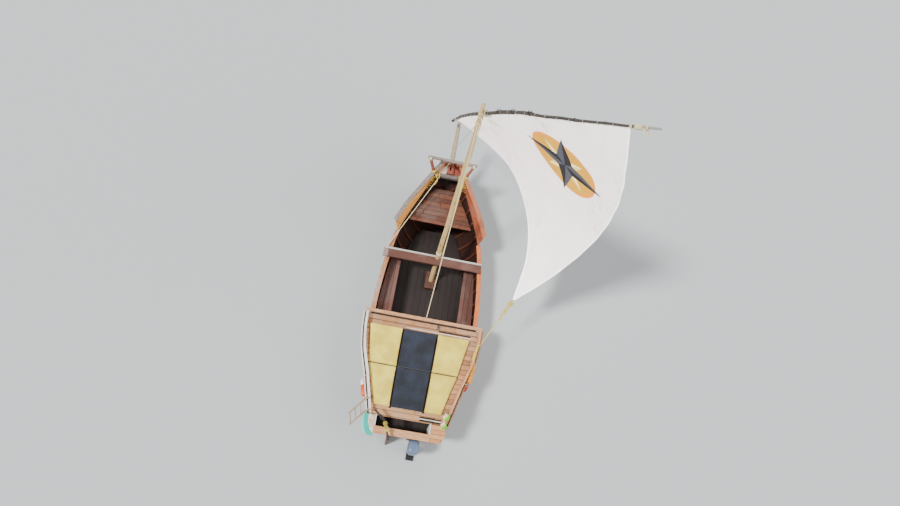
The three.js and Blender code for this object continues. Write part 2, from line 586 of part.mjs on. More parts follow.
// The sail's surface: u runs up the yard, v from the yard to the clew
const luffPoint = (u) => yardCurve.getPointAt(mix(YARD_LUFF.from, YARD_LUFF.to, u));
const footCurve = new THREE.CatmullRomCurve3([luffPoint(0), ...FOOT_CURVE.map(vec), vec(CLEW)]);
const leechCurve = new THREE.CatmullRomCurve3([luffPoint(1), ...LEECH_CURVE.map(vec), vec(CLEW)]);
const sailLee = new THREE.Vector3()
  .crossVectors(vec(CLEW).sub(luffPoint(0)), luffPoint(1).sub(luffPoint(0))).normalize().negate();
function sailPoint(u, v) {
  const clew = vec(CLEW);
  const point = luffPoint(u).lerp(clew, v);
  const foot = footCurve.getPointAt(v).sub(luffPoint(0).lerp(clew, v));
  const leech = leechCurve.getPointAt(v).sub(luffPoint(1).lerp(clew, v));
  return point.addScaledVector(foot, 1 - u).addScaledVector(leech, u)
    .addScaledVector(sailLee, SAIL_BELLY * 16 * u * (1 - u) * v * (1 - v));
}
function sailSolid() {
  const rings = [];
  for (let j = 0; j <= SAIL_ROWS; j++) {
    const v = (SAIL_END * j) / SAIL_ROWS;
    const row = Array.from({ length: SAIL_COLUMNS + 1 }, (_, i) => sailPoint(i / SAIL_COLUMNS, v));
    const lee = row.map((p) => p.clone().addScaledVector(sailLee, SAIL_THICK / 2));
    const windward = row.map((p) => p.clone().addScaledVector(sailLee, -SAIL_THICK / 2)).reverse();
    rings.push([...lee, ...windward]);
  }
  return loft(rings);
}
// The luff is laced to the yard and cut away round the sling
const SLING_ROOM = 35;
part('sail', cut(sailSolid(), yardSolid(FIT),
  aroundYard(SLING.half + FIT, SLING.radius + SLING_ROOM)), COLOR.sail);

// Main stays, taut
const STAY_RADIUS = 9;
const foreBeam = DECK_BEAMS.fore;
const underForeBeam = block(foreBeam.aft - 50, foreBeam.fore + 50, -FAR.side, FAR.side, 0, foreBeam.top + FIT);
const STAYS = [
  { name: 'backstay', share: 0.945, low: [-1040, -40, foreBeam.top - 20], end: underForeBeam },
  { name: 'forestay', share: 0.918, low: [4560, -20, 1940], end: spritSolid(FIT) },
];
for (const { name, share, low, end } of STAYS) {
  const rope = straightPole(mastAt(share).toArray(), low, STAY_RADIUS, STAY_RADIUS, 6);
  part(name, cut(rope, mastGrown, end), COLOR.rope);
}

// Rudder with its tiller, hung on the transom

const RUDDER = { low: -640, high: 1500, behind: 75, stock: 30, half: 22 };
const rudderX = (z) => transomX(z) - TRANSOM.thick - RUDDER.behind;
const onStock = (z) => [rudderX(z), RUDDER_Y, z];
const stockSolid = (radius) => straightPole(onStock(RUDDER.low), onStock(RUDDER.high), radius, radius, 16);
// Blade outline: distance from the stock's middle, height
const BLADE = [[0, -635], [0, 1380], [-70, 1380], [-100, 700], [-230, 250], [-380, -250], [-390, -635]];
const blade = prismXZ(BLADE.map(([dx, z]) => [rudderX(z) + dx, z]),
  RUDDER_Y - RUDDER.half, RUDDER_Y + RUDDER.half);
part('rudder', join(stockSolid(RUDDER.stock), blade), COLOR.brown);

const TILLER = { heel: [-60, -20, 22], elbow: [400, 160, 66], tip: [640, 470, 102], wide: 46, deep: 52 };
const fromHead = ([x, y, z]) => [rudderX(RUDDER.high) + x, RUDDER_Y + y, RUDDER.high + z];
const tillerPiece = (from, to) => timber(fromHead(from), fromHead(to), TILLER.wide, TILLER.deep);
part('tiller', cut(join(tillerPiece(TILLER.heel, TILLER.elbow), tillerPiece(TILLER.elbow, TILLER.tip)),
  stockSolid(RUDDER.stock + FIT)), COLOR.black);

const HANGER = { heights: [200, 950], half: 44, deep: 22, fore: 2, room: 100 };
for (const [index, z] of HANGER.heights.entries()) {
  const [x, y] = onStock(z);
  const plate = common(block(x - RUDDER.behind, transomX(z), y - HANGER.half, y + HANGER.half, z - HANGER.deep,
    z + HANGER.deep), behindTransom(-TRANSOM.thick - FIT));
  const bladeRoom = block(x - FAR.side, x + HANGER.fore, y - HANGER.room, y + HANGER.room, z - HANGER.room,
    z + HANGER.room);
  part(`rudder_hanger_${index + 1}`, cut(plate, stockSolid(RUDDER.stock + RUNNING_FIT), bladeRoom), COLOR.grey);
}

// Outboard motor on a wooden pad, lower than the transom's head

const MOTOR_PAD = { low: 200, high: 640, deep: 50, half: 190 };
const padFront = (z) => transomX(z) - TRANSOM.thick - FIT;
const padFace = padFront(MOTOR_PAD.high) - MOTOR_PAD.deep;
part('motor_pad', prismXZ([
  [padFront(MOTOR_PAD.low), MOTOR_PAD.low], [padFront(MOTOR_PAD.high), MOTOR_PAD.high],
  [padFace, MOTOR_PAD.high], [padFace, MOTOR_PAD.low]], MOTOR_Y - MOTOR_PAD.half, MOTOR_Y + MOTOR_PAD.half),
COLOR.brown);

const CLAMP = { half: 110, deep: 66, over: 30, low: 320, high: 670, top: 680 };
const SWIVEL = { x: padFace - 100, radius: 38, low: 330, high: 660, lug: 28, lugHigh: 30, web: 24 };
const upright = (x, low, high, radius) => (
  straightPole([x, MOTOR_Y, low], [x, MOTOR_Y, high], radius, radius, 12));
part('motor_clamp', join(
  block(padFace - CLAMP.deep, padFace - FIT, MOTOR_Y - CLAMP.half, MOTOR_Y + CLAMP.half, CLAMP.low, CLAMP.high),
  block(padFace - CLAMP.deep, padFace + CLAMP.over, MOTOR_Y - CLAMP.half, MOTOR_Y + CLAMP.half,
    MOTOR_PAD.high + FIT, CLAMP.top),
  upright(SWIVEL.x, SWIVEL.low, SWIVEL.high, SWIVEL.radius)), COLOR.black);

// Cowl: height, half length and half width of its rings
const COWL = { x: SWIVEL.x - 175, sides: 12, squareness: 0.6 };
const COWL_RINGS = [
  { z: 700, long: 110, wide: 100 },
  { z: 740, long: 172, wide: 148 },
  { z: 930, long: 192, wide: 165 },
  { z: 1050, long: 176, wide: 150 },
  { z: 1100, long: 120, wide: 98 },
];
const squared = (c) => Math.sign(c) * Math.abs(c) ** COWL.squareness;
part('motor_cowl', loft(COWL_RINGS.map(({ z, long, wide }) => Array.from({ length: COWL.sides }, (_, i) => {
  const turn = (Math.PI * 2 * i) / COWL.sides;
  return vec([COWL.x + long * squared(Math.cos(turn)), MOTOR_Y + wide * squared(Math.sin(turn)), z]);
}))), COLOR.motor, 0.5);

// Leg outline: distance from the leg's middle, height
const LEG = { x: SWIVEL.x - 160, half: 34, top: COWL_RINGS[0].z - FIT };
const LEG_OUTLINE = [
  [60, LEG.top], [-120, LEG.top], [-110, 200], [-150, 60], [-90, -120], [-60, -470],
  [40, -430], [50, -100], [60, 60], [60, 200],
];
const PLATE = { aft: -240, fore: 80, half: 110, low: 20, high: 34 };
const PROP = {
  x: LEG.x - 130 - FIT, z: -205, hub: 44, hubEnd: 34, length: 115, radius: 165,
  blades: 3, bladeFore: 45, bladeAft: 57,
};
// Gear case: distance from the leg's middle, radius
const GEAR_CASE = [[110, 14], [60, 50], [-130, 46]];
const lugs = [SWIVEL.low - FIT - SWIVEL.lugHigh, SWIVEL.high + FIT].flatMap((low) => [
  upright(SWIVEL.x, low, low + SWIVEL.lugHigh, SWIVEL.lug),
  block(LEG.x, SWIVEL.x, MOTOR_Y - SWIVEL.web, MOTOR_Y + SWIVEL.web, low, low + SWIVEL.lugHigh)]);
part('motor_leg', join(
  prismXZ(LEG_OUTLINE.map(([dx, z]) => [LEG.x + dx, z]), MOTOR_Y - LEG.half, MOTOR_Y + LEG.half),
  block(LEG.x + PLATE.aft, LEG.x + PLATE.fore, MOTOR_Y - PLATE.half, MOTOR_Y + PLATE.half,
    PLATE.low, PLATE.high),
  pole(GEAR_CASE.map(([dx]) => vec([LEG.x + dx, MOTOR_Y, PROP.z])), GEAR_CASE.map(([, radius]) => radius), 12),
  ...lugs), COLOR.black, 0.5);

// Blade corners: radius, turn in radians
const PROP_BLADE = [[30, -0.5], [110, -0.62], [PROP.radius, -0.15], [150, 0.42], [30, 0.5]];
const bladeRing = (x, turn) => PROP_BLADE.map(([r, a]) => vec([
  x, MOTOR_Y + r * Math.cos(turn + a), PROP.z + r * Math.sin(turn + a)]));
const blades = Array.from({ length: PROP.blades }, (_, i) => {
  const turn = (Math.PI * 2 * i) / PROP.blades;
  return loft([bladeRing(PROP.x - PROP.bladeFore, turn), bladeRing(PROP.x - PROP.bladeAft, turn)]);
});
part('propeller', join(straightPole([PROP.x, MOTOR_Y, PROP.z], [PROP.x - PROP.length, MOTOR_Y, PROP.z],
  PROP.hub, PROP.hubEnd, 12), ...blades), COLOR.black, 0.4);

// Boarding ladder hooked over the port hand rail, sloping out, down and a little aft

const LADDER = {
  fore: -3570, aft: -3870, hookOut: 100, hookIn: 34, hookHigh: 36, out: 500, trail: 190, foot: 560, radius: 20,
  rungs: 3, firstRung: 0.32, lastRung: 0.95, rungRadius: 14,
};
const ladderHeads = [LADDER.fore, LADDER.aft].map((x) => [x, railY(x)]);
const railRun = new THREE.Vector2(...ladderHeads[0]).sub(new THREE.Vector2(...ladderHeads[1])).normalize();
const hookHeight = DECK_TOP + RAIL.high + FIT + LADDER.hookHigh / 2;
const outboard = ([x, y], reach, z) => [x - railRun.y * reach, y + railRun.x * reach, z];
const ladderPoint = (head, t) => {
  const [x, y, z] = outboard(head, mix(LADDER.hookOut, LADDER.out, t), mix(hookHeight, LADDER.foot, t));
  return [x - LADDER.trail * t, y, z];
};
const ladderPieces = ladderHeads.flatMap((head) => [
  straightPole(ladderPoint(head, 0), ladderPoint(head, 1), LADDER.radius, LADDER.radius, 8),
  timber(outboard(head, -LADDER.hookIn, hookHeight), ladderPoint(head, 0), LADDER.hookIn, LADDER.hookHigh),
]);
for (let i = 0; i < LADDER.rungs; i++) {
  const t = mix(LADDER.firstRung, LADDER.lastRung, i / (LADDER.rungs - 1));
  const [from, to] = ladderHeads.map((head) => ladderPoint(head, t));
  ladderPieces.push(straightPole(from, to, LADDER.rungRadius, LADDER.rungRadius, 8));
}
part('boarding_ladder', join(...ladderPieces), COLOR.pole);

// Fenders pressed against the gunwale's edge: two lie along it and one hangs upright
const FENDERS = [
  { name: 'fender_port', x: -3230, sign: 1, radius: 78, upright: false, color: 0xe8742a },
  { name: 'fender_starboard_fore', x: -2300, sign: -1, radius: 100, upright: false, color: 0xe8a02a },
  { name: 'fender_starboard_aft', x: -2740, sign: -1, radius: 84, upright: true, color: 0xc8302a },
];
const FENDER = { uprightZ: 940, underDeck: 4, pressed: 10, sides: 16 };
// distance from the middle along the fender, radius as a share
const FENDER_PROFILE = [[-270, 0.3], [-225, 0.8], [-135, 1], [135, 1], [225, 0.8], [270, 0.3]];
for (const { name, x, sign, radius, upright, color } of FENDERS) {
  const slope = (hullAt(x + 1).beam - hullAt(x - 1).beam) / 2;
  const { beam, sheer } = hullAt(x);
  const z = upright ? FENDER.uprightZ : capTop(x) - radius - FENDER.underDeck;
  const reach = upright ? radius : Math.sqrt(radius ** 2 - (sheer - z) ** 2);
  const stand = Math.hypot(1, slope) * reach - FENDER.pressed;
  const middle = vec([x, sign * (beam + RAIL_OUT + stand), z]);
  const along = upright ? vec([0, 0, 1]) : vec([1, sign * slope, 0]).normalize();
  const form = pole(FENDER_PROFILE.map(([d]) => middle.clone().addScaledVector(along, d)),
    FENDER_PROFILE.map(([, share]) => share * radius), FENDER.sides);
  part(name, cut(form, railSolid(sign, FIT), hullForm(FIT)), color, 0.5);
}

export default boat;
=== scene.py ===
# The looks of an open wooden dhow under sail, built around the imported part.
# Metres. +X is towards the bow, +Y to port, +Z up, and the waterline is at z = 0.

import math

import bmesh
import bpy
from mathutils import Matrix, Vector
from mathutils.bvhtree import BVHTree
from mathutils.noise import noise as perlin


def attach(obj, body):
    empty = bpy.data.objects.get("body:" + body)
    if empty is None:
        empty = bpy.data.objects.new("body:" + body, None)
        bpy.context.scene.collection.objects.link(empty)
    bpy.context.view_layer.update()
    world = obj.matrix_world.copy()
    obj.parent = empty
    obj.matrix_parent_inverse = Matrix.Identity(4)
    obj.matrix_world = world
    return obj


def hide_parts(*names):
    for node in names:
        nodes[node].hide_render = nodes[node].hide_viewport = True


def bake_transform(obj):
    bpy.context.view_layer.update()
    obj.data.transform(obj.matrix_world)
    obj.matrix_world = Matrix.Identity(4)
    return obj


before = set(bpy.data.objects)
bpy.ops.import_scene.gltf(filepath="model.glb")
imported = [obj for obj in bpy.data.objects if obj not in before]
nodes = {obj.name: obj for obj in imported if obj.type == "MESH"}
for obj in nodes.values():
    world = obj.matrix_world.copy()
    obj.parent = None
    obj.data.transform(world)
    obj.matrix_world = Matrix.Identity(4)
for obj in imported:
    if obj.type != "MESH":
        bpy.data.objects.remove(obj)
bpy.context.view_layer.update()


def add(name, data):
    """An object of the scene that holds a mesh, a light or a camera."""
    made = bpy.data.objects.new(name, data)
    bpy.context.scene.collection.objects.link(made)
    return made


# Camera: it looks down from over the stern, and the horizon tilts a little

PHOTO_WIDTH = 900
SENSOR = 36.0
FOCAL_PX = 610
CAMERA_AT = Vector((-7.014, 0.869, 17.924))
CAMERA_YAW = math.radians(-8.96)
CAMERA_DIP = math.radians(63.5)
CAMERA_ROLL = math.radians(18.96)
CAMERA_REACH = 500


def place_camera():
    level = Vector((math.cos(CAMERA_YAW), math.sin(CAMERA_YAW), 0))
    ahead = level * math.cos(CAMERA_DIP) - Vector((0, 0, math.sin(CAMERA_DIP)))
    right = Vector((math.sin(CAMERA_YAW), -math.cos(CAMERA_YAW), 0))
    up = right.cross(ahead)
    across = right * math.cos(CAMERA_ROLL) + up * math.sin(CAMERA_ROLL)
    over = up * math.cos(CAMERA_ROLL) - right * math.sin(CAMERA_ROLL)
    data = bpy.data.cameras.new("view_from_above")
    data.sensor_width = SENSOR
    data.lens = FOCAL_PX / PHOTO_WIDTH * SENSOR
    data.clip_end = CAMERA_REACH
    camera = add("view_from_above", data)
    turn = Matrix((across, over, -ahead)).transposed()
    camera.matrix_world = Matrix.Translation(CAMERA_AT) @ turn.to_4x4()
    bpy.context.scene.camera = camera


place_camera()

# Shader maths


def paint(code):
    """A colour of the screen, such as c8b090, as the shader's linear numbers."""
    parts = [int(code[i:i + 2], 16) / 255 for i in (0, 2, 4)]
    return tuple(c / 12.92 if c <= 0.04045 else ((c + 0.055) / 1.055) ** 2.4 for c in parts)


def operator(operation, swapped=False):
    """A method of Num that adds one Math node."""
    def apply(self, other=0.0):
        return self.finish.math(operation, *((other, self) if swapped else (self, other)))
    return apply


class Num:
    """A number that varies over a surface. Arithmetic on it adds Math nodes."""

    def __init__(self, finish, socket):
        self.finish = finish
        self.socket = socket

    __add__ = operator("ADD")
    __radd__ = operator("ADD", swapped=True)
    __sub__ = operator("SUBTRACT")
    __rsub__ = operator("SUBTRACT", swapped=True)
    __mul__ = operator("MULTIPLY")
    __rmul__ = operator("MULTIPLY", swapped=True)
    __truediv__ = operator("DIVIDE")
    __mod__ = operator("FLOORED_MODULO")
    __abs__ = operator("ABSOLUTE")


class Finish:
    """One material, with the few tools that every finish here is made from."""

    def __init__(self, name, roughness=0.7, metallic=0.0):
        self.material = bpy.data.materials.new(name)
        self.material.use_nodes = True
        self.tree = self.material.node_tree
        self.tree.nodes.clear()
        output = self.tree.nodes.new("ShaderNodeOutputMaterial")
        self.shader = self.tree.nodes.new("ShaderNodeBsdfPrincipled")
        self.tree.links.new(self.shader.outputs[0], output.inputs[0])
        self.shader.inputs["Roughness"].default_value = roughness
        self.shader.inputs["Metallic"].default_value = metallic
        self.place = self.node("TexCoord").outputs["Object"]

    def plug(self, socket, value):
        """Sets a socket, or links it. A string is a colour of the screen."""
        if isinstance(value, str):
            value = paint(value)
        if isinstance(value, Num):
            self.tree.links.new(value.socket, socket)
        elif isinstance(value, bpy.types.NodeSocket):
            self.tree.links.new(value, socket)
        elif isinstance(value, tuple) and len(socket.default_value) == 4:
            socket.default_value = (*value, 1.0)
        else:
            socket.default_value = value

    def node(self, kind, settings=None, **sockets):
        """A node of one kind. A socket is named with _ for a space, or as i0, i1 by its place."""
        made = self.tree.nodes.new("ShaderNode" + kind)
        for key, value in (settings or {}).items():
            setattr(made, key, value)
        for key, value in sockets.items():
            by_place = key[0] == "i" and key[1:].isdigit()
            socket = made.inputs[int(key[1:]) if by_place else key.replace("_", " ")]
            self.plug(socket, value)
        return made

    def math(self, operation, first, second=0.0):
        made = self.node("Math", {"operation": operation}, i0=first, i1=second)
        return Num(self, made.outputs[0])

    def axes(self, vector=None):
        parts = self.node("SeparateXYZ", Vector=vector or self.place)
        return [Num(self, parts.outputs[k]) for k in range(3)]

    def joined(self, x, y, z=0.0):
        return self.node("CombineXYZ", X=x, Y=y, Z=z).outputs[0]

    def stretched(self, scale, vector=None):
        made = self.node("Mapping", Vector=vector or self.place, Scale=scale)
        return made.outputs[0]

    def noise(self, scale, detail=3.0, vector=None, roughness=0.55, distortion=0.0):
        made = self.node("TexNoise", Vector=vector or self.place, Scale=scale, Detail=detail,
                         Roughness=roughness, Distortion=distortion)
        return Num(self, made.outputs[0])

    def cells(self, scale, vector):
        return Num(self, self.node("TexVoronoi", Vector=vector, Scale=scale).outputs[0])

    def chance(self, number):
        """An even random share for each whole number."""
        made = self.node("TexWhiteNoise", {"noise_dimensions": "1D"}, W=number)
        return Num(self, made.outputs[0])

    def fade(self, value, low, high):
        """0 below low, 1 above high, smooth between."""
        made = self.node("MapRange", {"interpolation_type": "SMOOTHSTEP"}, Value=value,
                         From_Min=low, From_Max=high)
        return Num(self, made.outputs[0])

    def mix(self, factor, first, second, how="MIX"):
        made = self.node("Mix", {"data_type": "RGBA", "blend_type": how}, i0=factor, i6=first, i7=second)
        return made.outputs[2]

    def colour(self, value):
        self.plug(self.shader.inputs["Base Color"], value)

    def rough(self, value):
        self.plug(self.shader.inputs["Roughness"], value)

    def relief(self, height, distance=0.002, strength=1.0):
        made = self.node("Bump", Height=height, Distance=distance, Strength=strength)
        self.tree.links.new(made.outputs[0], self.shader.inputs["Normal"])

    def surface(self):
        """The piece's own flat coordinates, in metres: along and across."""
        along, across, _ = self.axes(self.node("UVMap", {"uv_map": "flat"}).outputs[0])
        return along, across


# Wooden finishes

GRAIN = {"X": (1.2, 16, 16), "Y": (16, 1.2, 16), "Z": (16, 16, 1.2)}
SEAM_DARK = "1d120c"
WORN_SEAM = "2a1d15"
BARE_DARK = "3a2417"
SILVERED = "b9b2aa"


def boards(finish, along, across, width, length, gap):
    """Planks side by side: a tone for each plank, and a mask of the seams between them."""
    row = finish.math("FLOOR", across / width)
    inside = across / width - row
    edge = finish.math("MINIMUM", inside, 1.0 - inside) * width
    shifted = along / length + finish.chance(row + 3.7)
    piece = finish.math("FLOOR", shifted)
    end = shifted - piece
    butt = finish.math("MINIMUM", end, 1.0 - end) * length
    seam = 1.0 - finish.fade(finish.math("MINIMUM", edge, butt), gap * 0.4, gap)
    tone = finish.chance(row * 7.13 + piece * 3.31)
    return tone, seam


def grain_place(finish, flat):
    """Where the grain is laid out, with its axes: the piece's flat coordinates, or the boat's own."""
    if not flat:
        return finish.place, dict(zip("XYZ", finish.axes()))
    u, v = finish.surface()
    return finish.joined(u, v), {"X": u, "Y": v, "Z": v}


def wood(name, light, dark, along="X", planks=None, rough=0.62, weathered=0.0, flat=False):
    """Bare or oiled timber. planks is (across axis, width, length, gap)."""
    finish = Finish(name, rough)
    place, axes = grain_place(finish, flat)
    streaks = finish.noise(4.0, 6, finish.stretched(GRAIN[along], place), 0.62, 0.4)
    fibres = finish.noise(16.0, 4, finish.stretched(GRAIN[along], place), 0.6)
    patches = finish.noise(1.3, 3, place)
    share = finish.fade(streaks * 0.7 + fibres * 0.3, 0.36, 0.66)
    height = fibres * 0.6 + streaks
    if planks:
        across, width, length, gap = planks
        tone, seam = boards(finish, axes[along], axes[across], width, length, gap)
        share = share * 0.5 + tone * 0.5
        height = height - seam * 3.0
    colour = finish.mix(share, dark, light)
    if weathered:
        grey = finish.fade(patches + fibres * 0.2, 0.62 - 0.3 * weathered, 0.75)
        colour = finish.mix(grey * weathered, colour, SILVERED)
    colour = finish.mix(finish.fade(patches, 0.5, 0.8) * 0.25, colour, dark)
    if planks:
        colour = finish.mix(seam * 0.85, colour, SEAM_DARK)
    finish.colour(colour)
    finish.rough(rough + (streaks - 0.5) * 0.3)
    finish.relief(height, 0.0025)
    return finish.material


def painted(name, coat, under, wear=0.5, along="X", planks=None, rough=0.55, flat=False, stain="8a7a66"):
    """Brushed paint on timber, worn through in streaks along the grain and stained in patches."""
    finish = Finish(name, rough)
    place, axes = grain_place(finish, flat)
    streaks = finish.noise(3.0, 6, finish.stretched(GRAIN[along], place), 0.65)
    patches = finish.noise(1.6, 4, place)
    chips = finish.noise(9.0, 6, place, 0.7)
    bare = finish.fade(streaks * 0.5 + chips * 0.3 + patches * 0.2, 0.64 - 0.12 * wear, 0.68 - 0.1 * wear)
    coat_colour = finish.mix(finish.fade(patches, 0.35, 0.75) * 0.35, coat, stain)
    height = chips * 0.4 - bare * 0.8
    if planks:
        across, width, length, gap = planks
        tone, seam = boards(finish, axes[along], axes[across], width, length, gap)
        coat_colour = finish.mix(tone * 0.16, coat_colour, stain)
        height = height - seam * 2.5
    timber = finish.mix(streaks, BARE_DARK, under)
    colour = finish.mix(bare, coat_colour, timber)
    if planks:
        colour = finish.mix(seam * 0.75, colour, WORN_SEAM)
    finish.colour(colour)
    finish.rough(rough + bare * 0.25)
    finish.relief(height, 0.002)
    return finish.material


def cracked_pole(name, light, dark, knots=0.6):
    """A bare round pole on its flat coordinates: grain and drying cracks along it, and knots."""
    finish = Finish(name, 0.6)
    u, v = finish.surface()
    place = finish.joined(u, v)
    grain = finish.noise(5.0, 6, finish.stretched((1.0, 18, 1), place), 0.6, 0.3)
    cracks = finish.noise(3.0, 3, finish.stretched((0.9, 30, 1), place), 0.5)
    crack = finish.fade(cracks, 0.68, 0.72)
    knot = 1.0 - finish.fade(finish.cells(1.7, finish.stretched((1, 3.0, 1), place)), 0.05, 0.16)
    patch = finish.fade(finish.noise(1.1, 3, place), 0.4, 0.7)
    colour = finish.mix(grain, dark, light)
    colour = finish.mix(patch * 0.3, colour, dark)
    colour = finish.mix(knot * knots, colour, "4a2f1c")
    colour = finish.mix(crack * 0.8, colour, "2b1c12")
    finish.colour(colour)
    finish.relief(grain - crack * 2.5 - knot, 0.003)
    return finish.material


# Cloth, rope, moulded and metal finishes

WEAVE = 260
FLAG_WEAVE = 160
DUST = "9b8c74"
ROPE_PITCH = 0.05
ROPE_STRANDS = 3


def weave_of(finish, u, v, threads):
    """Plain weave: threads over and under, as a height from 0 to 1."""
    warp = abs(finish.math("SINE", u * threads * math.pi))
    weft = abs(finish.math("SINE", v * threads * math.pi))
    return finish.math("MAXIMUM", warp, weft)


def cloth(name, light, dark, dusty=0.15):
    """Woven cover on Object coordinates, a little faded in patches."""
    finish = Finish(name, 0.9)
    x, y, _ = finish.axes()
    fade = finish.fade(finish.noise(2.2, 4), 0.35, 0.7)
    dust = finish.fade(finish.noise(11.0, 5, roughness=0.7), 0.5, 0.8)
    colour = finish.mix(fade, dark, light)
    colour = finish.mix(dust * dusty, colour, DUST)
    finish.colour(colour)
    finish.shader.inputs["Sheen Weight"].default_value = 0.25
    finish.relief(weave_of(finish, x, y, WEAVE), 0.0006)
    return finish.material


def laid_rope(name, light, dark):
    """Laid rope on its flat coordinates: u in metres along, v in turns round."""
    finish = Finish(name, 0.85)
    u, v = finish.surface()
    strand = abs(finish.math("SINE", (u / ROPE_PITCH + v * ROPE_STRANDS) * math.pi))
    fibre = finish.noise(90.0, 3, finish.joined(u, v * 0.2))
    age = finish.noise(3.0, 3, finish.joined(u, v * 0.1))
    tone = finish.fade(strand * 0.6 + fibre * 0.25 + age * 0.35, 0.25, 0.95)
    finish.colour(finish.mix(tone, dark, light))
    finish.relief(strand + fibre * 0.25, 0.003)
    return finish.material


def moulded(name, light, dark, rough=0.35, scuffs=0.3, coat=0.2):
    """Moulded plastic or vinyl with a fine grain, scuffs and grime."""
    finish = Finish(name, rough)
    grime = finish.fade(finish.noise(5.0, 5, roughness=0.65), 0.5, 0.78)
    scuff = finish.fade(finish.noise(22.0, 4, finish.stretched((1, 3, 1))), 0.62, 0.72)
    colour = finish.mix(grime, light, dark)
    colour = finish.mix(scuff * scuffs, colour, "d8d2c8")
    finish.colour(colour)
    finish.rough(rough + grime * 0.25)
    finish.shader.inputs["Coat Weight"].default_value = coat
    finish.relief(finish.noise(400.0, 2), 0.0003)
    return finish.material


def metal(name, light, dark, rough=0.45, metallic=0.9, rust=0.0):
    """Bare or painted metal, worn in patches, with spots of rust where asked for."""
    finish = Finish(name, rough, metallic)
    worn = finish.fade(finish.noise(14.0, 6, roughness=0.7), 0.45, 0.7)
    colour = finish.mix(worn, light, dark)
    if rust:
        spots = finish.fade(finish.noise(7.0, 6, roughness=0.75), 0.62 - rust * 0.2, 0.72 - rust * 0.1)
        colour = finish.mix(spots, colour, "6b3a1e")
        finish.plug(finish.shader.inputs["Metallic"], metallic * (1.0 - spots))
    finish.colour(colour)
    finish.rough(rough + worn * 0.2)
    finish.relief(worn, 0.0006)
    return finish.material


port_rail = wood("silvering_rail", "c98d60", "8a4c2c", "X", rough=0.6, weathered=0.4)
oiled_rail = wood("oiled_rail", "db7c3e", "9c4a20", "X", rough=0.45, weathered=0.05)
# Painted light: the port bulwark is lightened to a bright orange for the sun on its inner face; the starboard
# bulwark's darker red is partly its own colour and partly painted shade.
sunlit_port_bulwark = wood("oiled_bulwark_painted_sunlit", "ffc25e", "ee9238", "X", ("Z", 0.13, 3.1, 0.006), 0.5, 0.12)
shaded_starboard_bulwark = wood("red_bulwark_painted_shade", "b8623c", "7c3822", "X", ("Z", 0.13, 3.1, 0.006), 0.5, 0.1)
bleached_cap = wood("bleached_cap", "a3918a", "5f5049", "X", rough=0.8)
starboard_cap = wood("red_bow_cap", "c07245", "7f4328", "X", rough=0.5, weathered=0.08)
# The hold's lining is near black: partly the oiled timber's own dark colour, partly painted shade of the deep
# hull.
hold_wood_and_shade = wood("oiled_lining_and_painted_shade", "3c1b11", "160905", "X", rough=0.55, flat=True)
rib_wood = wood("oiled_ribs", "6f3d2a", "2b150e", "X", rough=0.55, flat=True)
# The floor boards are near black: partly their own dark colour, partly painted shade of the deep hold.
floor_wood_and_shade = wood("floor_boards_dark_and_painted_shade", "26150e", "0d0604", "X", ("Y", 0.19, 2.3, 0.01), 0.65)
bench_wood = wood("bench_planks", "744435", "3d2018", "X", ("Y", 0.16, 2.6, 0.008), 0.6, 0.08)
foredeck_wood = wood("foredeck_planks", "7a452c", "3a1e13", "Y", ("X", 0.17, 2.0, 0.008), 0.65, 0.1)
deck_wood = wood("deck_planks", "cf9a68", "8a5833", "Y", ("X", 0.145, 2.4, 0.008), 0.7, 0.2)
beam_wood = wood("tan_beam", "dfa87a", "97643e", "Y", rough=0.7, weathered=0.15)
pad_wood = wood("motor_pad_wood", "9b7458", "5b3f2c", "Y", rough=0.7, weathered=0.3)
bow_grey = wood("silvered_bow_timber", "7f7771", "48413c", "Y", rough=0.8)
bow_white = wood("sunlit_bow_board", "efe6de", "c3ab99", "X", rough=0.75)
quarter_wood = wood("quarter_planks", "e2aa76", "a96e3e", "Y", ("X", 0.12, 3.0, 0.006), 0.65, 0.12)
cap_wood = wood("transom_cap_wood", "e0aa74", "a86e40", "Y", rough=0.65, weathered=0.1)
tan_rail = wood("tan_rail", "dcaa80", "9a683f", "X", rough=0.65, weathered=0.12)
# Painted shade: near-black boards laid in the deck's gaps and slots, under the edge strakes and under the
# mattress joints, dark where there is only shade to show.
shade_board = wood("near_black_painted_shade_board", "2b2019", "120c09", "X", rough=0.8)
step_wood = wood("mast_step_wood", "6d4230", "2c1810", "X", rough=0.65)
ladder_wood = wood("ladder_wood", "c3a078", "8a6a45", "Z", rough=0.65, weathered=0.3)
red_brown = painted("red_brown_paint_worn", "8c4636", "b08868", 0.55, "Z", stain="5c2c22")
rail_paint = painted("rail_paint_worn", "e8e2da", "b79470", 0.35, "X")
well_white = painted("well_side_paint", "dcd8d2", "9a7c60", 0.45, "X")
transom_paint = painted("transom_paint", "d6d0c9", "9b7656", 0.45, "Y", ("Z", 0.17, 5.0, 0.006))
hull_paint = painted("topside_paint", "d4cec8", "8d6a4e", 0.5, "X", flat=True, rough=0.6)
bottom_paint = painted("keel_bottom_paint", "6e3527", "4d2a1c", 0.35, "X", stain="4a2a20")
black_paint = painted("black_paint_worn", "1f1f22", "6b4a30", 0.45, "X", stain="141416")
mast_finish = cracked_pole("mast_pole", "e6c88f", "a6804a")
sprit_finish = cracked_pole("bowsprit_pole", "b9a88f", "7c6549", 0.5)
yard_finish = cracked_pole("yard_pole", "584e46", "241d16", 0.8)
pale_peak = cracked_pole("yard_peak", "b4aca2", "7d746a", 0.5)
grey_pole = cracked_pole("gallows_pole", "a3938b", "6c5850", 0.6)
cream_cloth = cloth("cream_cover", "e6d358", "cfb842")
cream_piping = cloth("cream_piping", "c4a552", "a98a3e")
navy_piping = cloth("navy_piping", "161c28", "0c1018", dusty=0.03)
navy_cloth = cloth("navy_cover", "1f2636", "10141d", dusty=0.03)
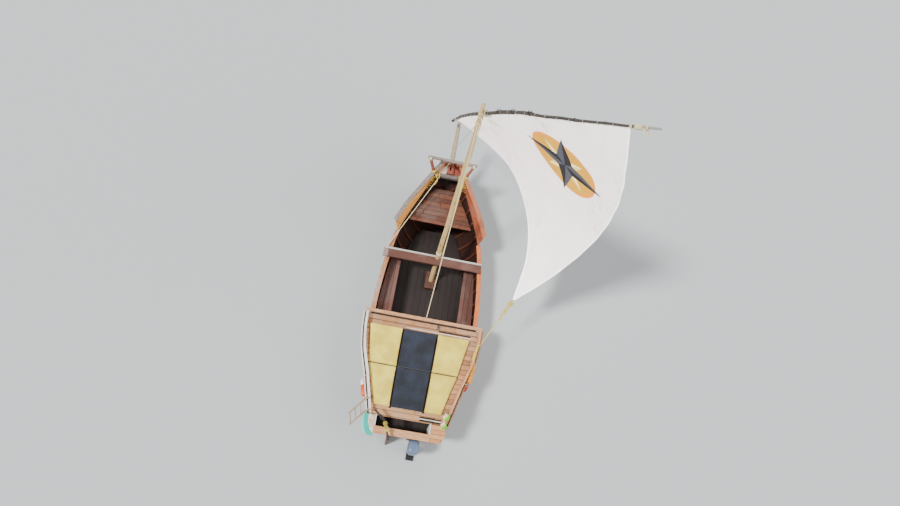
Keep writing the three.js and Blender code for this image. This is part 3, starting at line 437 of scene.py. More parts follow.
pale_rope = laid_rope("pale_rope", "efe4bd", "b59f66")
yellow_rope = laid_rope("yellow_rope", "ecd95e", "a8872a")
old_rope = laid_rope("old_orange_rope", "c98a3a", "7a4a20")
amber_rope = laid_rope("amber_rope", "f2ab42", "b4701a")
dark_rope = laid_rope("tarred_rope", "4a4038", "1e1814")
grey_rope = laid_rope("grey_rope", "cfc7bb", "8d8478")
orange_vinyl = moulded("orange_vinyl", "f0560f", "b03c0a", scuffs=0.15)
amber_vinyl = moulded("amber_vinyl", "f79a16", "b96e10", scuffs=0.15)
red_vinyl = moulded("red_vinyl", "cf1616", "8c100f", scuffs=0.15)
white_vinyl = moulded("white_vinyl", "efece6", "bdb6aa")
cowl_shell = moulded("cowl_shell", "5a6b86", "434f68", 0.35, 0.12, 0.3)
motor_black = metal("motor_satin_black", "202226", "2c2d30", 0.4, 0.2)
bronze_blades = metal("propeller_metal", "7d7f82", "4f5052", 0.35)
old_iron = metal("old_iron", "77736e", "4c4744", 0.55, 0.8, 0.6)
nail_iron = metal("nail_iron", "5c4436", "3a2a22", 0.7, 0.5, 0.8)


# The thwart: its seam and its pale port end, in the boat's metres

THWART_SEAM = 1.020
THWART_PORT_END = 1.43


def two_tone_thwart():
    """A pale silvered beam along the fore edge, and a red-brown plank behind it."""
    finish = Finish("thwart_planks", 0.7)
    x, y, _ = finish.axes()
    grain = finish.noise(4.0, 6, finish.stretched(GRAIN["Y"]), 0.62, 0.4)
    worn = finish.fade(finish.noise(1.8, 4), 0.45, 0.75)
    fore = finish.fade(x, THWART_SEAM - 0.002, THWART_SEAM + 0.002)
    port_end = finish.fade(y, THWART_PORT_END - 0.01, THWART_PORT_END + 0.01)
    pale = finish.math("MAXIMUM", fore, port_end * 0.4)
    plank = finish.mix(grain, "38201a", "6f4233")
    plank = finish.mix(worn * 0.25, plank, "8d7264")
    beam = finish.mix(grain, "8f8880", "cfc9c0")
    colour = finish.mix(pale, plank, beam)
    seam = 1.0 - finish.fade(abs(x - THWART_SEAM), 0.004, 0.009)
    finish.colour(finish.mix(seam * 0.8, colour, SEAM_DARK))
    finish.relief(grain - seam * 3.0, 0.0025)
    return finish.material


# The turquoise arc on the port quarter: its middle, its squeeze along the boat, and its radii

ARC = {"x": -4.02, "y": 0.70, "squeeze": 0.72, "inner": 0.340, "lip": 0.4625}


def turquoise_crescent():
    """Turquoise paint round the quarter's outer edge with a mint lip, and worn white inside it."""
    finish = Finish("turquoise_paint_worn", 0.5)
    x, y, _ = finish.axes()
    long_way = (x - ARC["x"]) * ARC["squeeze"]
    across = y - ARC["y"]
    away = finish.math("SQRT", long_way * long_way + across * across)
    wear = finish.noise(7.0, 5, roughness=0.65)
    band = finish.fade(away + (wear - 0.5) * 0.03, ARC["inner"] - 0.005, ARC["inner"] + 0.005)
    lip = finish.fade(away + (wear - 0.5) * 0.02, ARC["lip"] - 0.0075, ARC["lip"] + 0.0075)
    coat = finish.mix(wear, "04998a", "14b6a2")
    coat = finish.mix(lip * 0.8, coat, "74dcc2")
    inner = finish.mix(finish.fade(wear, 0.4, 0.6), "ded8cf", "b59c80")
    bare = finish.fade(finish.noise(13.0, 5, roughness=0.7), 0.68, 0.72)
    colour = finish.mix(band, inner, coat)
    finish.colour(finish.mix(bare * 0.7, colour, "a58d6c"))
    finish.rough(0.45 + bare * 0.3)
    finish.relief(wear * 0.4 - bare * 0.6, 0.002)
    return finish.material


thwart_wood = two_tone_thwart()
turquoise = turquoise_crescent()

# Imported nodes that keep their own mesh: a finish each, and rounded edges where they are timber
# node, finish, edge radius

KEPT = [
    ("transom", transom_paint, 0.004), ("keel_and_stem", bottom_paint, 0.006),
    ("gunwale_port", port_rail, 0.009), ("gunwale_starboard", oiled_rail, 0.009),
    ("bulwark_port", sunlit_port_bulwark, 0.004), ("bulwark_starboard", shaded_starboard_bulwark, 0.004),
    ("bulwark_cap_port", bleached_cap, 0.009), ("bulwark_cap_starboard", starboard_cap, 0.009),
    ("floor_boards", floor_wood_and_shade, 0.0), ("mast_step", step_wood, 0.006),
    ("side_bench_port", bench_wood, 0.005), ("side_bench_starboard", bench_wood, 0.005),
    ("foredeck", foredeck_wood, 0.004), ("breasthook", red_brown, 0.006),
    ("mast_thwart", thwart_wood, 0.007), ("aft_deck", deck_wood, 0.004),
    ("deck_beam_fore", beam_wood, 0.01), ("stern_well_floor", floor_wood_and_shade, 0.003),
    ("well_side_port", well_white, 0.004), ("well_side_starboard", well_white, 0.004),
    ("quarter_deck_port", turquoise, 0.008), ("quarter_deck_starboard", quarter_wood, 0.008),
    ("transom_cap", cap_wood, 0.008),
    ("side_rail_port", rail_paint, 0.006), ("side_rail_starboard", tan_rail, 0.006),
    ("bow_beam", bow_grey, 0.01),
    ("rudder", bottom_paint, 0.004), ("tiller", black_paint, 0.008),
    ("rudder_hanger_1", old_iron, 0.002), ("rudder_hanger_2", old_iron, 0.002),
    ("motor_pad", pad_wood, 0.006), ("motor_clamp", motor_black, 0.004),
    ("motor_leg", motor_black, 0.004), ("propeller", bronze_blades, 0.002),
    ("boarding_ladder", ladder_wood, 0.0),
]

FLAT_ENOUGH = math.radians(1.0)
CORNER = math.radians(32)
WELD_WITHIN = 1e-5


def bevelled(piece, width):
    """Rounds every edge that turns by more than CORNER."""
    bevel = piece.modifiers.new("edges", "BEVEL")
    bevel.width = width
    bevel.segments = 2
    bevel.limit_method = "ANGLE"
    bevel.angle_limit = CORNER
    return bevel


def dress(name, material, edge):
    piece = nodes[name]
    piece.data.materials.clear()
    piece.data.materials.append(material)
    if not edge:
        return
    weld = piece.modifiers.new("weld", "WELD")
    weld.merge_threshold = WELD_WITHIN
    flatten = piece.modifiers.new("flatten", "DECIMATE")
    flatten.decimate_type = "DISSOLVE"
    flatten.angle_limit = FLAT_ENOUGH
    bevelled(piece, edge)


for row in KEPT:
    dress(*row)

# Making meshes


def between(a, b, share):
    return a + (b - a) * share


def path_between(a, b, count):
    a, b = Vector(a), Vector(b)
    return [a.lerp(b, i / count) for i in range(count + 1)]


def heading(path, i):
    """The direction of a path at its point i."""
    return (path[min(i + 1, len(path) - 1)] - path[max(i - 1, 0)]).normalized()


def runs_along(path):
    """How far along a path each of its points is."""
    runs = [0.0]
    for a, b in zip(path, path[1:]):
        runs.append(runs[-1] + (b - a).length)
    return runs


def shares_of(count):
    return [i / count for i in range(count + 1)]


def outward_faces(mesh, merge=0.0):
    """Joins points closer than merge and turns every face outwards."""
    whole = bmesh.new()
    whole.from_mesh(mesh)
    if merge:
        bmesh.ops.remove_doubles(whole, verts=whole.verts, dist=merge)
    bmesh.ops.recalc_face_normals(whole, faces=whole.faces)
    whole.to_mesh(mesh)
    whole.free()


def final_mesh(piece):
    """A mesh of the piece as its modifiers leave it."""
    graph = bpy.context.evaluated_depsgraph_get()
    return bpy.data.meshes.new_from_object(piece.evaluated_get(graph))


class Form:
    """Points and faces gathered into one piece, with flat coordinates in metres."""

    def __init__(self):
        self.points = []
        self.faces = []
        self.flats = []
        self.slots = []

    def face(self, corners, flats, slot=0):
        self.faces.append(corners)
        self.flats.extend(flats)
        self.slots.append(slot)

    def grid(self, rows, flats, slot=0, wrap=False):
        """Rows of points; flats has one column more than the points where the grid wraps."""
        start = len(self.points)
        width = len(rows[0])
        for row in rows:
            self.points.extend(row)
        for r in range(len(rows) - 1):
            for c in range(width if wrap else width - 1):
                after = (c + 1) % width
                corners = [start + r * width + c, start + r * width + after,
                           start + (r + 1) * width + after, start + (r + 1) * width + c]
                quad = [flats[r][c], flats[r][c + 1], flats[r + 1][c + 1], flats[r + 1][c]]
                self.face(corners, quad, slot)
        return start

    def lid(self, ring, slot=0):
        """One flat face over a ring of point numbers."""
        middle = sum((self.points[i] for i in ring), Vector()) / len(ring)
        self.face(ring, [((self.points[i] - middle).x, (self.points[i] - middle).y) for i in ring], slot)

    def capped(self, rows, flats, slot=0):
        """A closed grid with a lid over each end."""
        first = self.grid(rows, flats, slot, wrap=True)
        sides = len(rows[0])
        last = first + (len(rows) - 1) * sides
        self.lid([first + k for k in range(sides)][::-1], slot)
        self.lid([last + k for k in range(sides)], slot)

    def tube(self, path, radii, sides=12, slot=0, turns=False):
        """A round bar along a path. v is in metres round, or in turns for rope."""
        side = heading(path, 0).orthogonal().normalized()
        round_about = 1.0 if turns else 2 * math.pi * max(radii)
        rows, flats = [], []
        for i, (point, run) in enumerate(zip(path, runs_along(path))):
            along = heading(path, i)
            side = (side - along * side.dot(along)).normalized()
            other = along.cross(side)
            rows.append([point + (side * math.cos(a) + other * math.sin(a)) * radii[i]
                         for a in (2 * math.pi * k / sides for k in range(sides))])
            flats.append([(run, round_about * k / sides) for k in range(sides + 1)])
        self.capped(rows, flats, slot)

    def rope(self, path, radius, sides, slot=0):
        """Laid rope of one thickness along a path."""
        self.tube(path, [radius] * len(path), sides, slot, turns=True)

    def lathe(self, base, axis, profile, sides, slot=0):
        """A turned body: profile holds (distance along the axis, radius)."""
        self.tube([base + axis * d for d, _ in profile], [r for _, r in profile], sides, slot)

    def bar(self, path, across, width, deep, slot=0):
        """A squared bar along a path; across is the sideways direction."""
        rows, flats = [], []
        side = Vector(across).normalized()
        for i, (point, run) in enumerate(zip(path, runs_along(path))):
            up = heading(path, i).cross(side).normalized()
            corners = [(-1, -1), (1, -1), (1, 1), (-1, 1)]
            rows.append([point + side * s * width / 2 + up * u * deep / 2 for s, u in corners])
            flats.append([(run, d) for d in (0, width, width + deep, 2 * width + deep, 2 * (width + deep))])
        self.capped(rows, flats, slot)

    def piece(self, name, *materials, smooth=True, outward=True):
        mesh = bpy.data.meshes.new(name)
        mesh.from_pydata([tuple(p) for p in self.points], [], self.faces)
        layer = mesh.uv_layers.new(name="flat")
        for loop, flat in zip(layer.data, self.flats):
            loop.uv = flat
        for material in materials:
            mesh.materials.append(material)
        for polygon, slot in zip(mesh.polygons, self.slots):
            polygon.material_index = slot
            polygon.use_smooth = smooth
        if outward:
            outward_faces(mesh)
        return add(name, mesh)


def fit(piece, body, slot, *stands_for):
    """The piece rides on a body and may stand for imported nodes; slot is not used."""
    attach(piece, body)
    if stands_for:
        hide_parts(*stands_for)
    return piece


def soft_edges(piece, width):
    bevelled(piece, width).harden_normals = True
    return piece


def smoothed(piece):
    """One level of subdivision."""
    smooth = piece.modifiers.new("smooth", "SUBSURF")
    smooth.levels = smooth.render_levels = 1


def thick_cloth(piece, thickness, offset):
    wall = piece.modifiers.new("cloth", "SOLIDIFY")
    wall.thickness = thickness
    wall.offset = offset


# Hull lines, repeated from the part's source in metres
# x, half beam, sheer, keel line, fullness

HULL = [
    (-4.900, 0.790, 1.290, -0.010, 1.70), (-4.400, 0.930, 1.215, -0.190, 1.75),
    (-3.700, 1.115, 1.110, -0.390, 1.85), (-2.900, 1.310, 1.035, -0.540, 2.00),
    (-1.900, 1.500, 0.985, -0.610, 2.15), (-0.700, 1.550, 0.965, -0.620, 2.25),
    (0.600, 1.475, 0.990, -0.620, 2.10), (1.700, 1.310, 1.070, -0.620, 1.85),
    (2.600, 0.985, 1.180, -0.610, 1.60), (3.300, 0.680, 1.290, 0.090, 1.45),
    (3.800, 0.440, 1.385, 0.730, 1.35), (4.180, 0.215, 1.465, 1.215, 1.30),
    (4.330, 0.095, 1.500, 1.400, 1.20),
]
PLANK = 0.048
RIB = {"deep": 0.045, "wide": 0.070, "first": -3.5, "spacing": 0.42, "count": 18}
TRANSOM_FOOT = (-3.980, -0.300)
TRANSOM_HEAD = (-4.335, 1.290)
HOLLOW_FORE = 4.15


def hull_at(x):
    """Half beam, sheer, keel line and fullness at x: curves through the table."""
    k = next((i for i in range(1, len(HULL)) if HULL[i][0] >= x), len(HULL) - 1)
    a, b = HULL[k - 1], HULL[k]
    before, after = HULL[max(k - 2, 0)], HULL[min(k + 1, len(HULL) - 1)]
    run = b[0] - a[0]
    t = (x - a[0]) / run
    values = []
    for c in range(1, 5):
        if c == 3:
            values.append(between(a[c], b[c], t))
            continue
        leave = (b[c] - before[c]) / (b[0] - before[0]) * run
        reach = (after[c] - a[c]) / (after[0] - a[0]) * run
        values.append(a[c] * (2 * t**3 - 3 * t**2 + 1) + leave * (t**3 - 2 * t**2 + t)
                      + b[c] * (3 * t**2 - 2 * t**3) + reach * (t**3 - t**2))
    return values


def on_hull(x, share, grow=0.0):
    """Y and z of the hull's outside at x; share runs from the sheer, 0, to the keel, 1."""
    beam, sheer, keel, full = hull_at(x)
    angle = math.pi / 2 * share
    out = max(math.cos(angle), 0.0) ** (2 / full)
    down = math.sin(angle) ** (2 / full)
    return (beam + grow) * out, sheer - (sheer - keel + grow) * down


def transom_x(z):
    share = (z - TRANSOM_FOOT[1]) / (TRANSOM_HEAD[1] - TRANSOM_FOOT[1])
    return between(TRANSOM_FOOT[0], TRANSOM_HEAD[0], share)


def hull_point(station, share, grow, fore):
    """A point of the hull's side; station runs from the transom, 0, to the bow end at fore, 1."""
    x = transom_x(0.5)
    for _ in range(6):
        x = between(transom_x(on_hull(x, share, grow)[1]) + 0.001, fore, station)
    return Vector((x, *on_hull(x, share, grow)))


STRAKES = 11
STATIONS = 96
SEAM = {"half": 0.06, "deep": 0.006}
GIRTH = 2.6
SAME_POINT = 2e-4


def strake_shares():
    """Shares down the side with the depth of the seam at each: a groove between strakes."""
    rows = [(0.0, 0.0)]
    for k in range(1, STRAKES):
        edge = k / STRAKES
        step = SEAM["half"] / STRAKES
        rows += [(edge - 0.5 / STRAKES, 0.0), (edge - step, 0.0), (edge, SEAM["deep"]), (edge + step, 0.0)]
    rows += [(1 - 0.5 / STRAKES, 0.0), (1.0, 0.0)]
    return rows


def planking(grow, sign, fore, seams):
    """Points and flat coordinates of one side's planking, grown outwards by grow."""
    rows, flats = [], []
    for share, deep in strake_shares():
        points = [hull_point(station, share, grow - (deep if seams else 0.0), fore)
                  for station in shares_of(STATIONS)]
        rows.append([Vector((p.x, sign * p.y, p.z)) for p in points])
        flats.append([(p.x, share * GIRTH) for p in points])
    return rows, flats


def build_hull():
    form = Form()
    for sign in (1, -1):
        outer, outer_flats = planking(0.0, sign, HULL[-1][0], True)
        inner, inner_flats = planking(-PLANK, sign, HOLLOW_FORE, False)
        form.grid(outer, outer_flats, 0)
        form.grid(inner, inner_flats, 1)
        form.grid([outer[0], inner[0]], [outer_flats[0], inner_flats[0]], 1)
        for end in (0, -1):
            form.grid([[r[end] for r in outer], [r[end] for r in inner]],
                      [[r[end] for r in outer_flats], [r[end] for r in inner_flats]], 1)
    hull = form.piece("hull_planking", hull_paint, hold_wood_and_shade, outward=False)
    outward_faces(hull.data, merge=SAME_POINT)
    return fit(hull, "root", "hull_paint", "hull_shell")


build_hull()

RIB_STEPS = 28
RIB_SUNK = 0.004


def rib_places():
    """Where the middle of each rib is along the boat."""
    return [RIB["first"] + i * RIB["spacing"] + RIB["wide"] / 2 for i in range(RIB["count"])]


def build_ribs():
    """Sawn ribs against the planking, each a bar from gunwale to gunwale."""
    form = Form()
    for x in rib_places():
        half = [on_hull(x, s, -PLANK - RIB["deep"] / 2) for s in shares_of(RIB_STEPS)]
        port = [Vector((x, y, z - RIB_SUNK)) for y, z in half]
        path = port + [Vector((p.x, -p.y, p.z)) for p in reversed(port[:-1])]
        form.bar(path, (1, 0, 0), RIB["wide"], RIB["deep"])
    ribs = form.piece("hull_ribs", rib_wood, smooth=False)
    return fit(soft_edges(ribs, 0.005), "root", "dark_wood")


build_ribs()

# Curves of the rig, repeated from the part's source in metres

MAST_FOOT = Vector((0.640, -0.040, 0.080))
MAST_HEAD = Vector((2.920, -0.290, 6.200))
MAST_RADII = (0.076, 0.052)
YARD_HEEL = Vector((5.226, 0.245, 2.399))
SLING = Vector((2.866, -0.406, 5.958))
YARD_POINTS = [
    YARD_HEEL, (4.180, 0.031, 4.056), SLING, (2.030, -0.910, 7.200), (1.040, -1.720, 8.500),
    (-0.060, -2.970, 10.030),
]
# share of the yard's length, radius
YARD_RADII = [(0, 0.034), (0.2, 0.041), (0.42, 0.044), (0.7, 0.034), (1, 0.022)]
LUFF = (0.085, 0.937)
CLEW = Vector((-0.366, -2.318, 2.113))
FOOT_CURVE = [
    (4.395, -0.533, 3.047), (3.290, -1.604, 3.290), (2.141, -2.284, 2.966), (0.968, -2.512, 2.546),
]
LEECH_CURVE = [
    (0.252, -2.870, 8.909), (0.397, -3.506, 6.879), (0.463, -3.672, 4.929), (0.133, -3.127, 3.088),
]
BELLY = 0.175
CURVE_STEPS = 200


class Bend:
    """A smooth curve through points, walked by its length."""

    def __init__(self, points):
        self.points = [Vector(p) for p in points]
        self.runs = runs_along([self.raw(t) for t in shares_of(CURVE_STEPS)])
        self.length = self.runs[-1]

    def raw(self, t):
        count = len(self.points)
        whole = min(int((count - 1) * t), count - 2)
        w = (count - 1) * t - whole
        p1, p2 = self.points[whole], self.points[whole + 1]
        p0 = self.points[whole - 1] if whole else 2 * p1 - p2
        p3 = self.points[whole + 2] if whole + 2 < count else 2 * p2 - p1
        d0, d1, d2 = (math.sqrt((b - a).length) for a, b in ((p0, p1), (p1, p2), (p2, p3)))
        t1 = ((p1 - p0) / d0 - (p2 - p0) / (d0 + d1) + (p2 - p1) / d1) * d1
        t2 = ((p2 - p1) / d1 - (p3 - p1) / (d1 + d2) + (p3 - p2) / d2) * d1
        return (p1 + t1 * w + (3 * (p2 - p1) - 2 * t1 - t2) * w**2
                + (2 * (p1 - p2) + t1 + t2) * w**3)

    def at(self, share):
        want = share * self.length
        k = next((i for i in range(1, CURVE_STEPS) if self.runs[i] >= want), CURVE_STEPS)
        part = (want - self.runs[k - 1]) / (self.runs[k] - self.runs[k - 1])
        return self.raw((k - 1 + part) / CURVE_STEPS)

    def path(self, count):
        return [self.at(share) for share in shares_of(count)]


def look_up(table, x):
    k = next((i for i in range(1, len(table)) if table[i][0] >= x), len(table) - 1)
    (x0, v0), (x1, v1) = table[k - 1], table[k]
    return between(v0, v1, (x - x0) / (x1 - x0))


yard_line = Bend(YARD_POINTS)
sling_share = next(i / 1000 for i in range(1000) if yard_line.at(i / 1000).x < SLING.x)
swing_axis = (SLING - YARD_HEEL).normalized()


def luff_point(u):
    return yard_line.at(between(*LUFF, u))


TACK, PEAK = luff_point(0), luff_point(1)
foot_line = Bend([TACK, *FOOT_CURVE, CLEW])
leech_line = Bend([PEAK, *LEECH_CURVE, CLEW])
LEE = -(CLEW - TACK).cross(PEAK - TACK).normalized()
DOWN = (CLEW - PEAK).normalized()
ACROSS = LEE.cross(DOWN)


MAST_AXIS = (MAST_HEAD - MAST_FOOT).normalized()


def mast_at(share):
    return MAST_FOOT.lerp(MAST_HEAD, share)


def mast_radius(share):
    return between(*MAST_RADII, share)


def wobble(path, amount, scale, seed, still=()):
    """Moves a path's points a little off their line. still holds (point, reach) left in place."""
    moved = []
    for p in path:
        size = amount
        for point, reach in still:
            size *= min(max(((p - point).length - reach) / reach, 0.0), 1.0)
        shift = [perlin(p * scale + Vector((seed, 17.3 * k, -seed))) for k in range(3)]
        moved.append(p + Vector(shift) * size)
    return moved


# The sail: one sheet laced to the yard, with a compass star between its luff and its leech

SAIL_COLUMNS = 132
SAIL_ROWS = 116
SAIL_TOE = 0.990
SAIL_CLOTH = 0.003
SAIL_CLOTH_WIDTH = 0.78
# Painted glow: the sailcloth shines with its own colour at this strength, to look more brightly lit
SAIL_PAINTED_GLOW = 1.9
ROBANDS = 23
LUFF_DROP = 0.040
LUFF_HOLLOW = 0.022
SLING_NOTCH = {"drop": 0.115, "reach": 0.30}
STAR = {"at": (0.70, 0.2425), "size": 1.05, "disc": 0.78, "rim": 0.035}
# turned by an eighth, length and waist of its points, and the light and dark colour of its facets
STAR_PARTS = [(True, 0.66, 0.30, "e6d48c", "cdb566"), (False, 1.0, 0.40, "3c3c42", "17171b")]
# Small waves: gathers at the robands, pulls down from the yard, and a flutter by the leech
RIPPLES = {"gather": 0.014, "pull": 0.006, "flutter": 0.028}


def sail_surface(u, v, luff, foot, leech):
    point = luff.lerp(CLEW, v)
    point = point + (foot - TACK.lerp(CLEW, v)) * (1 - u) + (leech - PEAK.lerp(CLEW, v)) * u
    return point + LEE * BELLY * 16 * u * (1 - u) * v * (1 - v)


def sail_point(u, v):
    return sail_surface(u, v, luff_point(u), foot_line.at(v), leech_line.at(v))


def flat_on_sail(point):
    return (point - PEAK).dot(DOWN), (point - PEAK).dot(ACROSS)


def fold_shade(finish, u, v, edge, luff, place):
    """Painted shade in long slanting folds, in loose patches near the yard and near the edges."""
    slanted = finish.stretched((1.0, 8.0, 1.0), finish.joined(u - v * 0.8, v + u * 0.5))
    folds = finish.fade(finish.noise(1.5, 5, slanted, 0.65), 0.56, 0.615)
    by_luff = 1.0 - finish.fade(luff, 0.3, 1.5)
    by_edge = (1.0 - finish.fade(edge, 0.5, 1.0)) * 0.7
    slack = finish.math("MAXIMUM", by_luff, by_edge) * finish.fade(finish.noise(0.45, 2, place), 0.47, 0.55)
    return folds * slack


def sail_finish():
    """White sailcloth with seams, a hem and the star, painted shade in its folds and a painted glow; its
    second map holds edge and luff distances.
    """
    finish = Finish("sailcloth_with_star", 0.85)
    u, v = finish.surface()
    place = finish.joined(u, v)
    edge, luff, _ = finish.axes(finish.node("UVMap", {"uv_map": "rim"}).outputs[0])
    tone = finish.fade(finish.noise(0.9, 4, place), 0.3, 0.75)
    grime = finish.fade(finish.noise(3.4, 6, place, 0.7), 0.55, 0.85)
    colour = finish.mix(tone, "efe6e2", "e6dad6")
    colour = finish.mix(grime * 0.3, colour, "cdc0b6")
    # Painted shade in the folds of the cloth
    colour = finish.mix(fold_shade(finish, u, v, edge, luff, place) * 0.7, colour, "75695f")
    stitch = abs(v % SAIL_CLOTH_WIDTH - SAIL_CLOTH_WIDTH / 2)
    seam = 1.0 - finish.fade(stitch, 0.006, 0.014)
    colour = finish.mix(seam * 0.22, colour, "bdb0a4")
    colour = star_on(finish, colour, u, v)
    hem = 1.0 - finish.fade(edge, 0.050, 0.058)
    hem_line = hem * finish.fade(edge, 0.040, 0.050)
    colour = finish.mix(hem, colour, "ffffff")
    colour = finish.mix(hem_line * 0.35, colour, "a79c90")
    tabling = 1.0 - finish.fade(luff, 0.07, 0.08)
    colour = finish.mix(tabling * 0.5, colour, "f6f3ee")
    finish.colour(colour)
    # Painted glow: the cloth shines with its own colour
    finish.plug(finish.shader.inputs["Emission Color"], colour)
    finish.shader.inputs["Emission Strength"].default_value = SAIL_PAINTED_GLOW
    creases = finish.noise(2.2, 4, finish.stretched((1.0, 4.5, 1.0), finish.joined(u + v * 0.8, v - u * 0.5)))
    weave = finish.noise(160.0, 2, place)
    finish.relief(creases * 1.0 + weave * 0.03 + seam * 0.1 + hem * 0.15, 0.02, 0.6)
    return finish.material


def star_on(finish, colour, u, v):
    """A compass star on a plain disc with a rim: two four-pointed stars, faceted, one over the other."""
    centre = flat_on_sail(sail_point(*STAR["at"]))
    x = u - centre[0]
    y = v - centre[1]
    size = STAR["size"]
    away = finish.math("SQRT", x * x + y * y)
    disc = 1.0 - finish.fade(away, STAR["disc"] * size, (STAR["disc"] + 0.01) * size)
    faded = finish.mix(finish.noise(2.6, 3, finish.joined(x, y)), "a9780c", "c0922a")
    colour = finish.mix(disc, colour, faded)
    off_rim = abs(away - STAR["disc"] * size)
    rim = 1.0 - finish.fade(off_rim, STAR["rim"] * size, STAR["rim"] * size * 1.2)
    colour = finish.mix(rim, colour, "cf7c18")
    half = math.sqrt(0.5)
    for turned, reach, waist, light, dark in STAR_PARTS:
        a = (x + y) * half if turned else x
        b = (y - x) * half if turned else y
        long_side = finish.math("MAXIMUM", abs(a), abs(b))
        short_side = finish.math("MINIMUM", abs(a), abs(b))
        tip = reach * size
        root = waist * size * 0.5
        slope = long_side * root + short_side * (tip - root)
        inside = 1.0 - finish.fade(slope, tip * root * 0.985, tip * root)
        side = finish.math("SIGN", a * b) * finish.math("SIGN", abs(a) - abs(b))
        facet = finish.fade(side, -0.5, 0.5)
        colour = finish.mix(inside, colour, finish.mix(facet, light, dark))
    return colour


def head_of_sail(u, length):
    """How far the head hangs below the yard's middle at u, as a share of the way to the clew."""
    off = abs(between(*LUFF, u) - sling_share) * yard_line.length
    notch = SLING_NOTCH["drop"] * max(1 - off / SLING_NOTCH["reach"], 0) ** 0.5
    hollow = LUFF_HOLLOW * abs(math.sin(math.pi * u * ROBANDS))
    return max(LUFF_DROP + hollow, notch + 0.02) / length


def ripple(u, v):
    """How far the cloth stands off its smooth surface."""
    gather = abs(math.sin(math.pi * u * ROBANDS)) * max(1 - v / 0.10, 0)
    pull = math.sin(2 * math.pi * (u * 6.5 + v * 7)) * max(1 - v * 2.4, 0) * min(v * 14, 1)
    flutter = math.sin(2 * math.pi * (v * 9 - u * 5)) * max(u - 0.70, 0) * min(v * 5, 1)
    return RIPPLES["gather"] * gather + RIPPLES["pull"] * pull + RIPPLES["flutter"] * flutter


def build_sail():
    us = shares_of(SAIL_COLUMNS)
    luff = [luff_point(u) for u in us]
    heads = [head_of_sail(u, (CLEW - p).length) for u, p in zip(us, luff)]
    rows, flats, rims = [], [], []
    for down in shares_of(SAIL_ROWS):
        row = []
        for u, p, head in zip(us, luff, heads):
            v = between(head, SAIL_TOE, down ** 1.15)
            row.append(sail_surface(u, v, p, foot_line.at(v), leech_line.at(v)) + LEE * ripple(u, v))
        rows.append(row)
        flats.append([flat_on_sail(p) for p in row])
        runs = runs_along(row)
        rims.append([min(d, runs[-1] - d) for d in runs])
    form = Form()
    form.grid(rows, flats)
    sail = form.piece("sail_cloths", sail_finish(), outward=False)
    rim = sail.data.uv_layers.new(name="rim")
    for loop in sail.data.loops:
        j, i = divmod(loop.vertex_index, SAIL_COLUMNS + 1)
        rim.data[loop.index].uv = (rims[j][i], (rows[j][i] - rows[0][i]).length)
    thick_cloth(sail, SAIL_CLOTH, 0)
    fit(sail, "sail_rig", "sailcloth", "sail")
    area = sum(p.area for p in sail.data.polygons)
    return sail, area


sail_piece, sail_area = build_sail()

# The yard: a crooked pole, fished along its middle and lashed

PEAK_TAILS = [(-0.15, -0.16, -0.02), (-0.08, -0.20, -0.06), (-0.17, -0.05, -0.04)]
PEAK_KNOT = 0.962
YARD_STEPS = 140
YARD_SIDES = 16
YARD_CROOK = 0.022
# share of the yard's length, growth of the radius
YARD_KNOTS = [(0.03, 0.006), (0.32, 0.007), (0.62, 0.006), (0.81, 0.006), (0.88, 0.005)]
FISH = {"from": 0.50, "to": 0.67, "radius": 0.016, "lift": 0.036, "steps": 40}
# share of the yard's length, length of the lashing
YARD_LASHINGS = [(0.02, 0.04), (0.515, 0.04), (0.585, 0.03), (0.655, 0.04), (0.80, 0.03)]
# share of the yard's length, length of the lashing, radius of its rope
PALE_LASHINGS = [(0.940, 0.06, 0.010), (0.957, 0.18, 0.014), (0.974, 0.05, 0.010), (0.09, 0.06, 0.008)]
PALE_PEAK = 0.945
NEAR_SLING = 0.16


def along_yard(share):
    a, b = yard_line.at(max(share - 0.004, 0)), yard_line.at(min(share + 0.004, 1))
    return (b - a).normalized()


def on_yard(share, lift=0.0):
    """A point over the yard's middle, away from the sail."""
    point = yard_line.at(share)
    along = along_yard(share)
    out = point - CLEW
    out = (out - along * out.dot(along)).normalized()
    return point + out * lift


def circle(axis):
    """A function that gives the unit vector at each turn round an axis."""
    first = axis.orthogonal().normalized()
    second = axis.cross(first)
    return lambda turn: first * math.cos(turn) + second * math.sin(turn)


def wind(form, base, axis, radius, rope, length, slot=0, seed=0.0, sides=7):
    """Turns of rope side by side round an axis."""
    turns = max(round(length / (2.05 * rope)), 2)
    steps = 18
    out = circle(axis)
    path = []
    for i in range(turns * steps + 1):
        turn = 2 * math.pi * i / steps + seed
        uneven = rope * 0.25 * math.sin(i * 1.7 + seed) * 0.3
        along = (i / (turns * steps) - 0.5) * (length - 2 * rope)
        path.append(base + axis * along + out(turn) * (radius + rope + uneven))
    form.rope(path, rope, sides, slot)


def build_yard():
    shares = shares_of(YARD_STEPS)
    path = wobble([yard_line.at(s) for s in shares], YARD_CROOK, 1.7, 3.0, [(SLING, 0.25), (YARD_HEEL, 0.1)])
    radii = [look_up(YARD_RADII, s) * (1 + 0.10 * perlin(Vector((s * 34, 2, 7)))) for s in shares]
    for share, growth in YARD_KNOTS:
        radii[round(share * YARD_STEPS)] += growth
    form = Form()
    pale = round(PALE_PEAK * YARD_STEPS)
    form.tube(path[:pale + 1], radii[:pale + 1], YARD_SIDES)
    form.tube(path[pale:], [r * 0.985 for r in radii[pale:]], YARD_SIDES, slot=1)
    count = FISH["steps"]
    fish = [on_yard(between(FISH["from"], FISH["to"], share), FISH["lift"]) for share in shares_of(count)]
    taper = [0.45 + 0.55 * min(i, count - i, 4) / 4 for i in range(count + 1)]
    form.tube(wobble(fish, 0.010, 2.3, 9.0), [FISH["radius"] * t for t in taper])
    pole = form.piece("yard_pole", yard_finish, pale_peak)
    return fit(pole, "sail_rig", "yard_wood", "yard")


yard_piece = build_yard()


